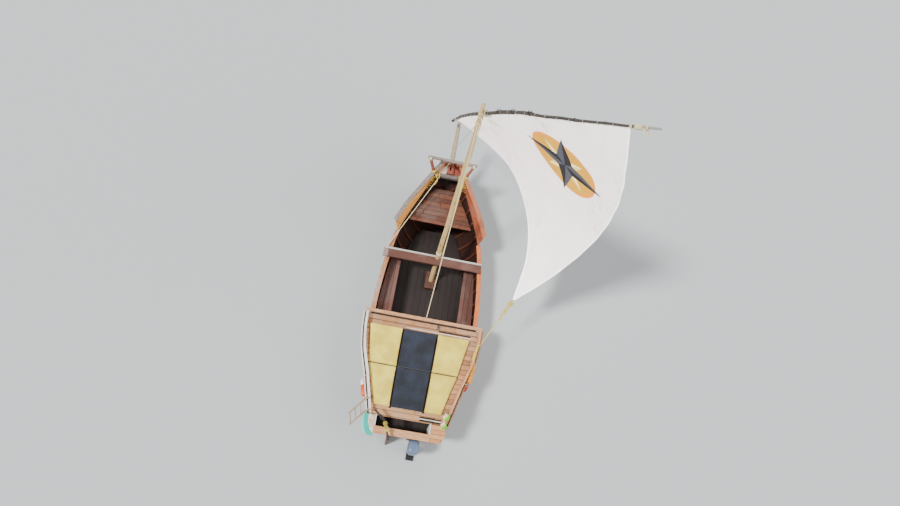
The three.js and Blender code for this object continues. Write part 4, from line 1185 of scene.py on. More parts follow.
def yard_seizing(form, base, share, gap, rope, length, **more):
    wind(form, base, along_yard(share), look_up(YARD_RADII, share) + gap, rope, length, **more)


def build_yard_lashings():
    dark = Form()
    for k, (share, length) in enumerate(YARD_LASHINGS):
        fished = FISH["from"] < share < FISH["to"]
        lift, gap = (0.016, 0.016) if fished else (0.0, 0.001)
        yard_seizing(dark, on_yard(share, lift), share, gap, 0.005, length, seed=k)
    for k in range(ROBANDS + 1):
        share = between(*LUFF, k / ROBANDS)
        if abs(share - sling_share) * yard_line.length < NEAR_SLING:
            continue
        gap = 0.012 if FISH["from"] < share < FISH["to"] else 0.004
        base = yard_line.at(share).lerp(CLEW, 0.0015)
        yard_seizing(dark, base, share, gap, 0.003, 0.016, slot=1, seed=k * 2.1, sides=6)
    fit(dark.piece("yard_lashings", dark_rope, grey_rope), "sail_rig", "rope")
    pale = Form()
    for k, (share, length, rope) in enumerate(PALE_LASHINGS):
        yard_seizing(pale, yard_line.at(share), share, 0.001, rope, length, seed=k)
    knot = yard_line.at(PEAK_KNOT)
    for tip in PEAK_TAILS:
        bend = Bend([knot, knot + Vector(tip) * 0.4 + Vector((0, 0, 0.04)), knot + Vector(tip)])
        pale.rope(bend.path(14), 0.015, 8)
    fit(pale.piece("peak_and_tack_lashings", pale_rope), "sail_rig", "rope")


build_yard_lashings()

# The collar turns with the yard inside the strop that hangs on the mast

SLING_HALF = 0.075
SLING_RADIUS = 0.068
STROP = {"half": 0.028, "low": -0.040, "high": 0.016}
WOUND = 0.0065


def build_sling():
    collar = Form()
    for depth, seed in ((2, 0.4), (4.2, 1.4)):
        radius = SLING_RADIUS - depth * WOUND
        wind(collar, SLING, swing_axis, radius, WOUND, 2 * SLING_HALF, seed=seed, sides=8)
    fit(collar.piece("yard_collar_turns", pale_rope), "sail_rig", "rope", "yard_collar")
    strop = Form()
    height = (SLING - MAST_FOOT).dot(MAST_AXIS)
    middle = MAST_FOOT + MAST_AXIS * (height + (STROP["low"] + STROP["high"]) / 2)
    radius = mast_radius(height / (MAST_HEAD - MAST_FOOT).length)
    wind(strop, middle, MAST_AXIS, radius, 0.0075, STROP["high"] - STROP["low"], seed=1.0, sides=8)
    wind(strop, SLING, swing_axis, SLING_RADIUS + 0.003, 0.0095, 2 * STROP["half"], seed=2.0, sides=8)
    fit(strop.piece("mast_strop_turns", pale_rope), "root", "rope", "mast_strop")


build_sling()

# Mast, bowsprit and the frame over the bow

MAST_STEPS = 60
# share of the mast's length, length of the seizing, radius of its rope, first turn
MAST_SEIZINGS = [(0.945, 0.06, 0.008, 3.0), (0.918, 0.05, 0.008, 5.0), (0.20, 0.10, 0.007, 6.0)]
SPRIT_HEEL = Vector((4.090, 0.0, 1.714))
SPRIT_TIP = Vector((5.360, 0.0, 2.210))
SPRIT_RADII = (0.080, 0.056)
SPRIT_STEPS = 24


def build_mast():
    form = Form()
    shares = shares_of(MAST_STEPS)
    still = [(SLING, 0.35), (MAST_FOOT, 0.2), (mast_at(0.16), 0.25)]
    path = wobble([mast_at(s) for s in shares], 0.010, 1.1, 5.0, still)
    radii = [mast_radius(s) * (1 + 0.02 * perlin(Vector((s * 14, 9, 1)))) for s in shares]
    form.tube(path, radii, 28)
    fit(form.piece("mast_pole", mast_finish), "root", "spar_wood", "mast")
    ties = Form()
    for share, length, rope, seed in MAST_SEIZINGS:
        wind(ties, mast_at(share), MAST_AXIS, mast_radius(share), rope, length, seed=seed)
    fit(ties.piece("mast_seizings", pale_rope), "root", "rope")


build_mast()


def build_bowsprit():
    form = Form()
    path = wobble(path_between(SPRIT_HEEL, SPRIT_TIP, SPRIT_STEPS), 0.006, 2.0, 2.0, [(SPRIT_HEEL, 0.2)])
    radii = [between(*SPRIT_RADII, share) * (1 + 0.03 * perlin(Vector((i * 0.9, 4, 4))))
             for i, share in enumerate(shares_of(SPRIT_STEPS))]
    radii[-1] *= 0.86
    form.tube(path, radii, 26)
    fit(form.piece("bowsprit_pole", sprit_finish), "root", "spar_wood", "bowsprit")


build_bowsprit()

# Taut ropes: four stay on the boat, and two reach the rig

CAP_AT_STEM = Vector((4.28, 0.03, 1.60))
THWART_PORT = Vector((1.00, 1.53, 1.13))
RAIL_CLEAT = Vector((-1.53, -1.70, 1.30))
STEM_HEAD = Vector((4.345, 0.02, 1.66))
HALYARD_HEAD = mast_at(0.955) + Vector((0.0, -0.075, 0.0))
HALYARD_FOOT = mast_at(0.12) + Vector((0.0, -0.120, 0.0))


def hung_rope(name, start, end, radius, sag, finish, count, sides):
    """A rope between two points, lower in its middle by sag."""
    path = [p - Vector((0, 0, sag * 4 * share * (1 - share)))
            for p, share in zip(path_between(start, end, count), shares_of(count))]
    form = Form()
    form.rope(path, radius, sides)
    return form.piece(name, finish)


def taut_rope(name, start, end, radius, sag, finish, *stands_for):
    rope = hung_rope(name, start, end, radius, sag, finish, 40, 10)
    return fit(rope, "root", "rope", *stands_for)


def moving_rope(name, start, end, radius, sag, finish):
    """A rope from the boat to the yard or the sail."""
    rope = hung_rope(name, start, end, radius, sag, finish, 48, 9)
    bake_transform(rope)
    return rope


taut_rope("backstay_rope", mast_at(0.945), (-1.040, -0.040, 1.250), 0.013, 0.02, pale_rope, "backstay")
taut_rope("forestay_rope", mast_at(0.918), (4.560, -0.020, 1.930), 0.012, 0.01, pale_rope, "forestay")
taut_rope("halyard_fall", HALYARD_HEAD, HALYARD_FOOT, 0.010, 0.0, yellow_rope)
taut_rope("bow_rope", CAP_AT_STEM, THWART_PORT, 0.012, 0.03, pale_rope)
moving_rope("tack_line", STEM_HEAD, YARD_HEEL + swing_axis * 0.05, 0.011, 0.0, pale_rope)
moving_rope("sheet_rope", RAIL_CLEAT, CLEW + Vector((0.02, 0.0, 0.03)), 0.014, 0.06, yellow_rope)

# Gallows over the bow

GALLOWS_FEET = [Vector((3.660, s * 0.482, 1.60)) for s in (1, -1)]
GALLOWS_HEADS = [Vector((3.950, s * 0.710, 2.060)) for s in (1, -1)]
GALLOWS_POST = 0.090
GALLOWS_BAR = (Vector((3.950, -0.780, 2.060)), Vector((3.950, 0.780, 2.060)))
GALLOWS_BAR_RADIUS = 0.050
# share of the way up the post, radius of the turns, radius of the rope, length
GALLOWS_TIES = [(0.93, 0.056, 0.008, 0.10), (0.20, 0.058, 0.010, 0.09)]


def build_gallows():
    form = Form()
    path = wobble(path_between(*GALLOWS_BAR, 20), 0.010, 1.9, 6.0)
    radii = [GALLOWS_BAR_RADIUS * (1 + 0.05 * perlin(Vector((i * 0.7, 1, 5)))) for i in range(len(path))]
    form.tube(path, radii, 18)
    fit(form.piece("gallows_pole", grey_pole), "root", "grey_wood", "gallows_bar")
    ties = Form()
    for side, foot, head in zip(("port", "starboard"), GALLOWS_FEET, GALLOWS_HEADS):
        axis = (head - foot).normalized()
        post = Form()
        path = wobble(path_between(foot + axis * 0.02, head - axis * 0.035, 8), 0.004, 3.0, foot.y)
        post.bar(path, (0.3, 1, 0), GALLOWS_POST, GALLOWS_POST)
        shaped = soft_edges(post.piece(f"gallows_leg_{side}", red_brown, smooth=False), 0.012)
        fit(shaped, "root", "red_brown_paint", f"gallows_post_{side}")
        ways = (Vector((0, 1, 0)), axis)
        for k, (share, radius, rope, length) in enumerate(GALLOWS_TIES):
            wind(ties, foot.lerp(head, share), ways[k], radius, rope, length, slot=k, seed=foot.y + k)
    fit(ties.piece("gallows_ties", pale_rope, yellow_rope), "root", "rope")


build_gallows()

# Six mattresses: each a stuffed cover, swelled by a cloth simulation, with piping along its edges

PAD_THICK = 0.095
PAD_BASE = 1.2358
PAD_GAP = 0.001
PAD_LAP = 0.010
PAD_X = (-1.430, -2.565, -3.700)
# row, cover, starboard edge and port edge at the three places in PAD_X
PAD_ROWS = [
    ("starboard", "cream", (-1.400, -1.180, -0.880), (-0.440, -0.415, -0.380)),
    ("middle", "navy", (-0.440, -0.415, -0.380), (0.548, 0.543, 0.534)),
    ("port", "cream", (0.548, 0.543, 0.534), (1.520, 1.350, 1.000)),
]
PAD_SHRINK = 0.001
PAD_CROWN = 0.022
PAD_VOXEL = 0.018
PAD_TRAVEL = 0.024
PAD_FRAMES = 20
PAD_PRESSURE = 4.0
PAD_STIFFNESS = 12
PIPE_STEPS = 26
PIPE = {"radius": 0.0055, "inset": 0.012, "below_top": 0.006, "from": 0.03, "to": 0.97}
SHADE_BATTEN = (0.070, 0.006)


def pad_corners(near, far, k):
    fore = PAD_X[k] + (PAD_LAP if k else -PAD_GAP)
    aft = PAD_X[k + 1] + (PAD_GAP if k else -PAD_LAP)
    slip = PAD_GAP / (PAD_X[0] - PAD_X[1])

    def edge(values, share, side):
        return between(values[k], values[k + 1], share) + side * PAD_GAP

    return [(fore, edge(near, slip, 1)), (aft, edge(near, 1 - slip, 1)),
            (aft, edge(far, 1 - slip, -1)), (fore, edge(far, slip, -1))]


def middle_of(corners):
    return Vector((sum(x for x, _ in corners) / 4, sum(y for _, y in corners) / 4))


def swell(piece):
    """Blows a closed cover up a little, keeps every point near its start, and rests it on its floor."""
    mesh = piece.data
    before = [v.co.copy() for v in mesh.vertices]
    cover = piece.modifiers.new("cover", "CLOTH")
    settings = cover.settings
    settings.use_pressure = True
    settings.uniform_pressure_force = PAD_PRESSURE
    settings.quality = 6
    settings.tension_stiffness = settings.compression_stiffness = PAD_STIFFNESS
    settings.effector_weights.gravity = 0.0
    cover.point_cache.frame_end = PAD_FRAMES
    scene = bpy.context.scene
    for number in range(1, PAD_FRAMES + 1):
        scene.frame_set(number)
    blown = final_mesh(piece)
    after = [v.co.copy() for v in blown.vertices]
    piece.modifiers.remove(cover)
    bpy.data.meshes.remove(blown)
    scene.frame_set(1)
    for vertex, a, b in zip(mesh.vertices, before, after):
        move = b - a
        if move.length > PAD_TRAVEL:
            move *= PAD_TRAVEL / move.length
        vertex.co = a + move
        vertex.co.z = max(vertex.co.z, PAD_BASE)


def pad_block(name, corners):
    """The cut shape of a cover: a closed box with rounded edges."""
    middle = middle_of(corners)
    mesh = bpy.data.meshes.new(name)
    whole = bmesh.new()
    rings = []
    for z in (PAD_BASE + 0.002, PAD_BASE + PAD_THICK - PAD_CROWN):
        ring = []
        for x, y in corners:
            flat = Vector((x, y)) - middle
            flat *= 1 - PAD_SHRINK / flat.length
            ring.append(whole.verts.new((*(middle + flat), z)))
        rings.append(ring)
    whole.faces.new(rings[0][::-1])
    whole.faces.new(rings[1])
    for i in range(4):
        j = (i + 1) % 4
        whole.faces.new((rings[0][i], rings[0][j], rings[1][j], rings[1][i]))
    bmesh.ops.bevel(whole, geom=whole.edges[:], offset=0.014, segments=3, affect="EDGES", profile=0.6)
    bmesh.ops.recalc_face_normals(whole, faces=whole.faces)
    whole.to_mesh(mesh)
    whole.free()
    return mesh


def build_pad(row, place, corners, cover, slot):
    name = f"mattress_{row}_{place}"
    pad = add(name, pad_block(name, corners))
    remesh = pad.modifiers.new("grid", "REMESH")
    remesh.mode = "VOXEL"
    remesh.voxel_size = PAD_VOXEL
    pad.data = final_mesh(pad)
    pad.modifiers.remove(remesh)
    swell(pad)
    pad.data.materials.clear()
    pad.data.materials.append(cover)
    for polygon in pad.data.polygons:
        polygon.use_smooth = True
    smoothed(pad)
    fit(pad, "root", slot, f"pad_{row}_{place}")
    return pad


def pipe_pad(form, pad, corners):
    """Piping sewn round the top edge, laid on the swollen cover."""
    cover = BVHTree.FromPolygons([v.co for v in pad.data.vertices], [p.vertices for p in pad.data.polygons])
    top = max(v.co.z for v in pad.data.vertices)
    middle = middle_of(corners).to_3d()
    path = []
    for i in range(4):
        a, b = (Vector((*corners[(i + j) % 4], 0)) for j in (0, 1))
        for share in shares_of(PIPE_STEPS - 1):
            wide = a.lerp(b, between(PIPE["from"], PIPE["to"], share))
            wide = wide + (middle - wide).normalized() * PIPE["inset"]
            path.append(cover.find_nearest(Vector((wide.x, wide.y, top - PIPE["below_top"])))[0])
    smooth = [(path[i - 1] + path[i] * 2 + path[(i + 1) % len(path)]) / 4 for i in range(len(path))]
    form.tube(smooth + smooth[:2], [PIPE["radius"]] * (len(smooth) + 2), 6)


def build_mattresses():
    covers = {"cream": cream_cloth, "navy": navy_cloth}
    pipings = {"cream": (Form(), cream_piping), "navy": (Form(), navy_piping)}
    for row, colour, near, far in PAD_ROWS:
        for k, place in enumerate(("fore", "aft")):
            corners = pad_corners(near, far, k)
            pad = build_pad(row, place, corners, covers[colour], f"{colour}_cloth")
            pipe_pad(pipings[colour][0], pad, corners)
    for colour, (form, finish) in pipings.items():
        fit(form.piece(f"mattress_piping_{colour}", finish), "root", f"{colour}_cloth")


build_mattresses()


def build_battens():
    """Dark battens on the deck under the joints between the mattresses: painted shade in the gaps."""
    form = Form()
    starboard, middle, port = (row[2:] for row in PAD_ROWS)
    for edge in middle:
        ends = [(PAD_X[k], edge[k], PAD_BASE) for k in (0, 2)]
        form.bar(path_between(*ends, 4), (0, 1, 0), *SHADE_BATTEN)
    across = [(PAD_X[1], values[1], PAD_BASE + 0.001) for values in (starboard[0], port[1])]
    form.bar(path_between(*across, 4), (1, 0, 0), *SHADE_BATTEN)
    fit(form.piece("mattress_joint_shade_battens", shade_board, smooth=False), "root", "dark_wood")


build_battens()

# Outboard motor's cowl, a moulded shell with a rounded head and a lower lip

COWL_X = -4.5753
MOTOR_Y = -0.290
# height, half length, half width
COWL_RINGS = [
    (0.700, 0.110, 0.100), (0.720, 0.150, 0.132), (0.740, 0.174, 0.149), (0.748, 0.180, 0.154),
    (0.768, 0.180, 0.154), (0.775, 0.176, 0.150), (0.860, 0.186, 0.160), (0.930, 0.192, 0.165),
    (1.000, 0.188, 0.161), (1.050, 0.174, 0.149), (1.082, 0.146, 0.122), (1.096, 0.108, 0.090),
    (1.101, 0.060, 0.050),
]
COWL_SIDES = 48
COWL_SQUARENESS = 0.66


def cowl_ring(z, long, wide):
    ring = []
    for i in range(COWL_SIDES):
        turn = 2 * math.pi * i / COWL_SIDES
        c, s = math.cos(turn), math.sin(turn)
        x = math.copysign(abs(c) ** COWL_SQUARENESS, c) * long
        y = math.copysign(abs(s) ** COWL_SQUARENESS, s) * wide
        ring.append(Vector((COWL_X + x, MOTOR_Y + y, z)))
    return ring


def build_cowl():
    form = Form()
    flats = [[(r[0], share) for share in shares_of(COWL_SIDES)] for r in COWL_RINGS]
    form.capped([cowl_ring(*ring) for ring in COWL_RINGS], flats)
    cowl = form.piece("motor_cowl_shell", cowl_shell)
    smoothed(cowl)
    fit(cowl, "outboard_motor", "motor_shell", "motor_cowl")


build_cowl()

# Fenders and their lanyards: two lie along the gunwale and one hangs upright
# name, x, side, radius, upright, shell, end cap, record slot

FENDERS = [
    ("fender_port", -3.230, 1, 0.078, False, orange_vinyl, white_vinyl, "orange_fender"),
    ("fender_starboard_fore", -2.300, -1, 0.100, False, amber_vinyl, orange_vinyl, "yellow_fender"),
    ("fender_starboard_aft", -2.740, -1, 0.084, True, red_vinyl, red_vinyl, "red_fender"),
]
FENDER = {"upright_z": 0.940, "under_deck": 0.004, "pressed": 0.010, "rail_out": 0.038, "rail_top": 0.0524}
# distance along from the middle, radius as a share
FENDER_PROFILE = [
    (-0.268, 0.18), (-0.262, 0.28), (-0.242, 0.34), (-0.236, 0.66), (-0.212, 0.88), (-0.172, 0.98),
    (-0.110, 1.0), (0.060, 1.0), (0.110, 1.0), (0.172, 0.98), (0.212, 0.88), (0.236, 0.66),
    (0.242, 0.34), (0.262, 0.28), (0.268, 0.18),
]
FENDER_WAIST = 7
FENDER_TAILS = 0.262
FENDER_SIDES = 32
# the lanyard: rope radius, rise above the fender's end, height and reach inboard where it passes the rail
LANYARD = {"rope": 0.007, "rise": 0.06, "over": 1.455, "inboard": 0.03}


def fender_seat(x, sign, radius, upright):
    """The fender's middle and the direction it lies in, as in the part's source."""
    beam, sheer, _, _ = hull_at(x)
    slope = (hull_at(x + 0.001)[0] - hull_at(x - 0.001)[0]) / 0.002
    z = FENDER["upright_z"] if upright else sheer + FENDER["rail_top"] - radius - FENDER["under_deck"]
    reach = radius if upright else math.sqrt(radius**2 - (sheer - z) ** 2)
    stand = math.hypot(1, slope) * reach - FENDER["pressed"]
    along = Vector((0, 0, 1)) if upright else Vector((1, sign * slope, 0)).normalized()
    return Vector((x, sign * (beam + FENDER["rail_out"] + stand), z)), along


def build_fenders():
    for name, x, sign, radius, upright, shell, cap, slot in FENDERS:
        middle, along = fender_seat(x, sign, radius, upright)
        profile = [(d, share * radius) for d, share in FENDER_PROFILE]
        form = Form()
        form.lathe(middle, along, profile[:FENDER_WAIST + 1], FENDER_SIDES, slot=0)
        form.lathe(middle, along, profile[FENDER_WAIST:], FENDER_SIDES, slot=1)
        for end in ((1,) if upright else (1, -1)):
            tail = middle + along * FENDER_TAILS * end
            rise = Vector((0, -sign * 0.012, LANYARD["rise"]))
            over = Vector((tail.x, tail.y - sign * (radius + LANYARD["inboard"]), LANYARD["over"]))
            bend = Bend([tail - along * 0.01 * end, tail + rise + along * 0.02 * end, over])
            form.rope(bend.path(16), LANYARD["rope"], 7, slot=2)
        fit(form.piece(name + "_body", shell, cap, pale_rope), "root", slot, name)


build_fenders()

# The limp flag at the starboard quarter: three plain bands, gathered on a short staff

STAFF_FOOT = Vector((-3.580, -0.930, 1.240))
STAFF_HEAD = Vector((-3.700, -1.060, 1.700))
STAFF_RADIUS = 0.012
FLAG = {"columns": 44, "rows": 32, "hoist": 0.34, "fly": 0.46, "folds": 1.6, "deep": 0.034, "droop": 0.50}
FLAG_CLOTH = 0.0012
FLAG_BANDS = ("52c53f", "ece05a", "f4f1ea")


def flag_finish():
    finish = Finish("flag_cloth", 0.9)
    along, across = finish.surface()
    colour = FLAG_BANDS[0]
    for edge, band in zip((0.33, 0.66), FLAG_BANDS[1:]):
        past = finish.fade(across, FLAG["hoist"] * edge, FLAG["hoist"] * (edge + 0.01))
        colour = finish.mix(past, colour, band)
    grime = finish.fade(finish.noise(9.0, 4, finish.joined(along, across)), 0.45, 0.8)
    finish.colour(finish.mix(grime * 0.25, colour, "8d8672"))
    finish.relief(weave_of(finish, along, across, FLAG_WEAVE), 0.0008)
    return finish.material
    return finish.material


def build_flag():
    staff = Form()
    pole = path_between(STAFF_FOOT, STAFF_HEAD, 8)
    staff.tube(pole, [STAFF_RADIUS] * len(pole), 10)
    down_staff = (STAFF_FOOT - STAFF_HEAD).normalized()
    wind(staff, STAFF_FOOT.lerp(STAFF_HEAD, 0.45), -down_staff, STAFF_RADIUS, 0.004, 0.05, slot=1)
    fit(staff.piece("flag_staff", sprit_finish, pale_rope), "root", "spar_wood")
    rows, flats = [], []
    top = STAFF_FOOT.lerp(STAFF_HEAD, 0.97)
    fly = Vector((-0.90, 0.16, 0.0)).normalized()
    side = Vector((-fly.y, fly.x, 0.0))
    for v in shares_of(FLAG["rows"]):
        row = []
        for u in shares_of(FLAG["columns"]):
            droop = FLAG["droop"] * min(1, 0.4 + u)
            fold = math.sin(2 * math.pi * (u * FLAG["folds"] + v * 0.4)) * FLAG["deep"] * min(u * 4, 1)
            reach = FLAG["fly"] * 0.92 * u
            point = top + down_staff * FLAG["hoist"] * v
            point = point + fly * (reach * math.cos(droop) + 0.012) - Vector((0, 0, reach * math.sin(droop)))
            row.append(point + side * (fold + 0.03 * u * perlin(Vector((u * 4, v * 4, 3)))))
        rows.append(row)
        flats.append([(u * FLAG["fly"], v * FLAG["hoist"]) for u in shares_of(FLAG["columns"])])
    form = Form()
    form.grid(rows, flats)
    flag = form.piece("flag", flag_finish(), outward=False)
    thick_cloth(flag, FLAG_CLOTH, -1)
    fit(flag, "root", "sailcloth")


build_flag()

# Edge strakes outboard of the side rails, each on a dark ledger that joins it to the deck and paints the
# shade in the gap beside it

DECK_OVERHANG = [(-4.9, 0.0), (-3.5, 0.0), (-2.9, 0.020), (-2.2, 0.095), (-1.5, 0.130), (-0.9, 0.135)]
EDGE = {"from": -3.93, "to": -1.10, "steps": 40}
# out from the deck's edge to the bar's middle, width, depth, height of the middle
STRAKE = (0.054, 0.040, 0.050, 1.204)
SHADE_LEDGER = (0.0175, 0.033, 0.040, 1.190)
# side, sign, finish and record slot of the strake
STRAKE_SIDES = [("port", 1, rail_paint, "rail_paint"), ("starboard", -1, tan_rail, "deck_wood")]


def deck_half(x):
    return hull_at(x)[0] + look_up(DECK_OVERHANG, x)


def edge_bar(form, sign, out, wide, deep, z, slot):
    path = []
    for share in shares_of(EDGE["steps"]):
        x = between(EDGE["from"], EDGE["to"], share)
        path.append(Vector((x, sign * (deck_half(x) + out), z)))
    form.bar(path, (0, 1, 0), wide, deep, slot)


def build_edge_strakes():
    for side, sign, finish, slot in STRAKE_SIDES:
        form = Form()
        edge_bar(form, sign, *STRAKE, 0)
        edge_bar(form, sign, *SHADE_LEDGER, 1)
        strake = form.piece(f"deck_edge_strake_{side}", finish, shade_board, smooth=False)
        fit(soft_edges(strake, 0.007), "root", slot)


build_edge_strakes()

# Small timbers on the deck
# name, finish, record slot, then bars: middle, length across the boat, width along it, depth

DECK_TIMBERS = [
    # Painted shade: dark strips flush in the gap behind the deck beam, beside the raised plank and in the two
    # slots aft
    ("deck_gap_shade_strips", shade_board, "dark_wood", [
        ((-1.132, 0.0, 1.2345), 3.06, 0.052, 0.006), ((-1.338, -0.93, 1.2345), 0.94, 0.040, 0.006),
        ((-3.888, -0.600, 1.2345), 0.600, 0.036, 0.006), ((-3.812, -0.600, 1.2345), 0.600, 0.036, 0.006)]),
    ("deck_pale_batten", rail_paint, "rail_paint", [
        ((-1.392, -0.46, 1.242), 1.90, 0.018, 0.016), ((-3.850, -0.600, 1.238), 0.620, 0.020, 0.010)]),
]


def build_deck_timbers():
    for name, finish, slot, bars in DECK_TIMBERS:
        form = Form()
        for (x, y, z), length, wide, deep in bars:
            path = path_between((x, y - length / 2, z), (x, y + length / 2, z), 6)
            form.bar(path, (1, 0, 0), wide, deep)
        fit(form.piece(name, finish, smooth=False), "root", slot)


build_deck_timbers()

# Deck fittings: an iron ring on the raised plank

RING_AT = Vector((-1.235, -0.435, 1.268))
RING_PLATE = {"half": Vector((0.06, 0, 0)), "wide": 0.075, "deep": 0.008}
RING = {"lift": Vector((0, 0, 0.026)), "axis": Vector((0.2, 0.3, 1)), "radius": 0.034, "thick": 0.007}
RING_STEPS = 28


def build_ring_plate():
    form = Form()
    plate = path_between(RING_AT - RING_PLATE["half"], RING_AT + RING_PLATE["half"], 2)
    form.bar(plate, (0, 1, 0), RING_PLATE["wide"], RING_PLATE["deep"])
    out = circle(RING["axis"].normalized())
    middle = RING_AT + RING["lift"]
    path = [middle + out(2 * math.pi * share) * RING["radius"] for share in shares_of(RING_STEPS)]
    form.tube(path, [RING["thick"]] * len(path), 8)
    fit(form.piece("deck_ring", old_iron), "root", "iron")


build_ring_plate()

# Bow chock between the bulwarks, the boards beside it, and the ropes on the bow beam

CHOCK = {"aft": 3.80, "fore": 4.28, "low": 1.392, "high": 1.585, "half_aft": 0.115, "half_fore": 0.070}
CHOCK_SLOT = {"aft": 3.92, "fore": 4.10, "half": 0.022, "deep": 0.05}
BOW_BOARD_PORT = [(3.79, 0.118), (3.79, 0.400), (3.95, 0.314), (4.14, 0.195), (4.30, 0.110), (4.30, 0.068)]
BOW_BOARD_Z = (1.470, 1.500)
BOW_CHEEK_PORT = [(4.122, 0.170), (4.122, 0.262), (4.220, 0.205),
                  (4.330, 0.120), (4.330, 0.050), (4.220, 0.120)]
BOW_CHEEK_Z = (1.486, 1.560)
BOW_ROPE = 0.011
BEAM_LASHING = {"x": 3.72, "z": 1.495, "radius": 0.080}
# distance from the middle line, length of the lashing
BEAM_LASHINGS = [(0.40, 0.06), (0.32, 0.05)]
LASHING_TAIL = [(3.70, 0.40, 1.60), (3.60, 0.43, 1.62), (3.50, 0.35, 1.56), (3.36, 0.42, 1.44)]
# Loose rope at the ends of the bow beam: start, end, radius, turns, finish slot
BOW_ROPES = [
    ((3.74, 0.38, 1.545), (3.50, 0.60, 1.545), 0.060, 5, 0),
    ((3.66, 0.46, 1.475), (3.36, 0.58, 1.350), 0.070, 5, 1),
    ((3.80, 0.30, 1.560), (3.62, 0.56, 1.565), 0.045, 4, 1),
    ((3.58, 0.50, 1.440), (3.30, 0.66, 1.300), 0.055, 4, 0),
    ((3.72, -0.40, 1.540), (3.42, -0.55, 1.500), 0.055, 5, 0),
    ((3.64, -0.44, 1.470), (3.34, -0.58, 1.330), 0.060, 4, 1),
]


def prism(form, outline, low, high, slot=0):
    """A flat board of any outline, from low to high."""
    rows = [[Vector((x, y, z)) for x, y in outline] for z in (low, high)]
    form.capped(rows, [[(z, i * 0.1) for i in range(len(outline) + 1)] for z in (low, high)], slot)


def mirrored(outline):
    return [(x, -y) for x, y in outline]


def spiral(form, start, end, radius, rope, turns, slot=0, seed=0.0):
    """Rope with open turns round a line."""
    out = circle((end - start).normalized())
    path = []
    for i, share in enumerate(shares_of(turns * 16)):
        turn = 2 * math.pi * i / 16 + seed
        wide = radius * (1 + 0.25 * math.sin(turn * 0.37 + seed))
        path.append(start.lerp(end, share) + out(turn) * wide)
    form.rope(path, rope, 7, slot)


def chock_half(x):
    share = (x - CHOCK["aft"]) / (CHOCK["fore"] - CHOCK["aft"])
    return between(CHOCK["half_aft"], CHOCK["half_fore"], share)


def chock_outlines():
    """The chock from above: two cheeks beside the slot, and a block before and behind it."""
    aft, fore, inner = CHOCK_SLOT["aft"], CHOCK_SLOT["fore"], CHOCK_SLOT["half"]
    at_aft, at_fore = chock_half(aft), chock_half(fore)
    cheek = [(aft, inner), (aft, at_aft), (fore, at_fore), (fore, inner)]
    tail = [(CHOCK["aft"], -CHOCK["half_aft"]), (CHOCK["aft"], CHOCK["half_aft"]),
            (aft, at_aft), (aft, -at_aft)]
    nose = [(fore, -at_fore), (fore, at_fore),
            (CHOCK["fore"], CHOCK["half_fore"]), (CHOCK["fore"], -CHOCK["half_fore"])]
    return [cheek, mirrored(cheek), tail, nose]


def build_bow_chock():
    form = Form()
    for outline in chock_outlines():
        prism(form, outline, CHOCK["low"], CHOCK["high"])
    fit(soft_edges(form.piece("bow_chock", red_brown, smooth=False), 0.006), "root", "red_brown_paint")
    boards = Form()
    prism(boards, BOW_BOARD_PORT, *BOW_BOARD_Z)
    prism(boards, mirrored(BOW_BOARD_PORT), *BOW_BOARD_Z, 1)
    prism(boards, BOW_CHEEK_PORT, *BOW_CHEEK_Z, 1)
    prism(boards, mirrored(BOW_CHEEK_PORT), *BOW_CHEEK_Z, 1)
    pair = boards.piece("bow_boards", bow_white, red_brown, smooth=False)
    fit(soft_edges(pair, 0.005), "root", "grey_wood")


def build_bow_ropes():
    """Lashings round the bow beam with loose tails, and rope heaped at its ends."""
    ties = Form()
    for sign in (1, -1):
        for y, length in BEAM_LASHINGS:
            middle = Vector((BEAM_LASHING["x"], sign * y, BEAM_LASHING["z"]))
            wind(ties, middle, Vector((0, 1, 0)), BEAM_LASHING["radius"], BOW_ROPE, length, seed=y * 9)
        tail = Bend([Vector((x, y * sign, z)) for x, y, z in LASHING_TAIL])
        ties.rope(tail.path(18), BOW_ROPE, 7)
    for start, end, radius, turns, slot in BOW_ROPES:
        spiral(ties, Vector(start), Vector(end), radius, BOW_ROPE, turns, slot, radius * 40)
    fit(ties.piece("bow_beam_lashings", yellow_rope, old_rope), "root", "rope")


build_bow_chock()
build_bow_ropes()

# Ropes with slack: round the tiller, and gathered at the sail's clew

TILLER_LINE = [Vector((-4.517, 0.440, 1.532)), Vector((-4.117, 0.600, 1.566)), Vector((-3.877, 0.910, 1.602))]
SHEET_ROPE = 0.015
# distances from the clew, radius of the turns, turns
CLEW_BUNCH = [(0.02, 0.42, 0.045, 4), (0.10, 0.62, 0.032, 3), (0.0, 0.16, 0.06, 3)]


def build_slack_ropes():
    form = Form()
    heel, elbow, tip = TILLER_LINE
    spiral(form, heel.lerp(elbow, 0.55), elbow, 0.046, 0.010, 5, 0)
    spiral(form, elbow, elbow.lerp(tip, 0.55), 0.046, 0.010, 4, 1, 2.0)
    wind(form, heel.lerp(elbow, 0.42), (elbow - heel).normalized(), 0.038, 0.009, 0.07, seed=1.0)
    fit(form.piece("tiller_ropes", yellow_rope, dark_rope), "rudder_blade", "rope")
    bunch = Form()
    along = (RAIL_CLEAT - CLEW).normalized()
    for k, (near, far, wide, turns) in enumerate(CLEW_BUNCH):
        spiral(bunch, CLEW + along * near, CLEW + along * far, wide, SHEET_ROPE, turns, 0, 1.7 * k)
    fit(bunch.piece("sheet_bunch", yellow_rope), "sail_rig", "rope")


build_slack_ropes()

# The sheet's tail along the starboard rail, and a rope coil hung outside it

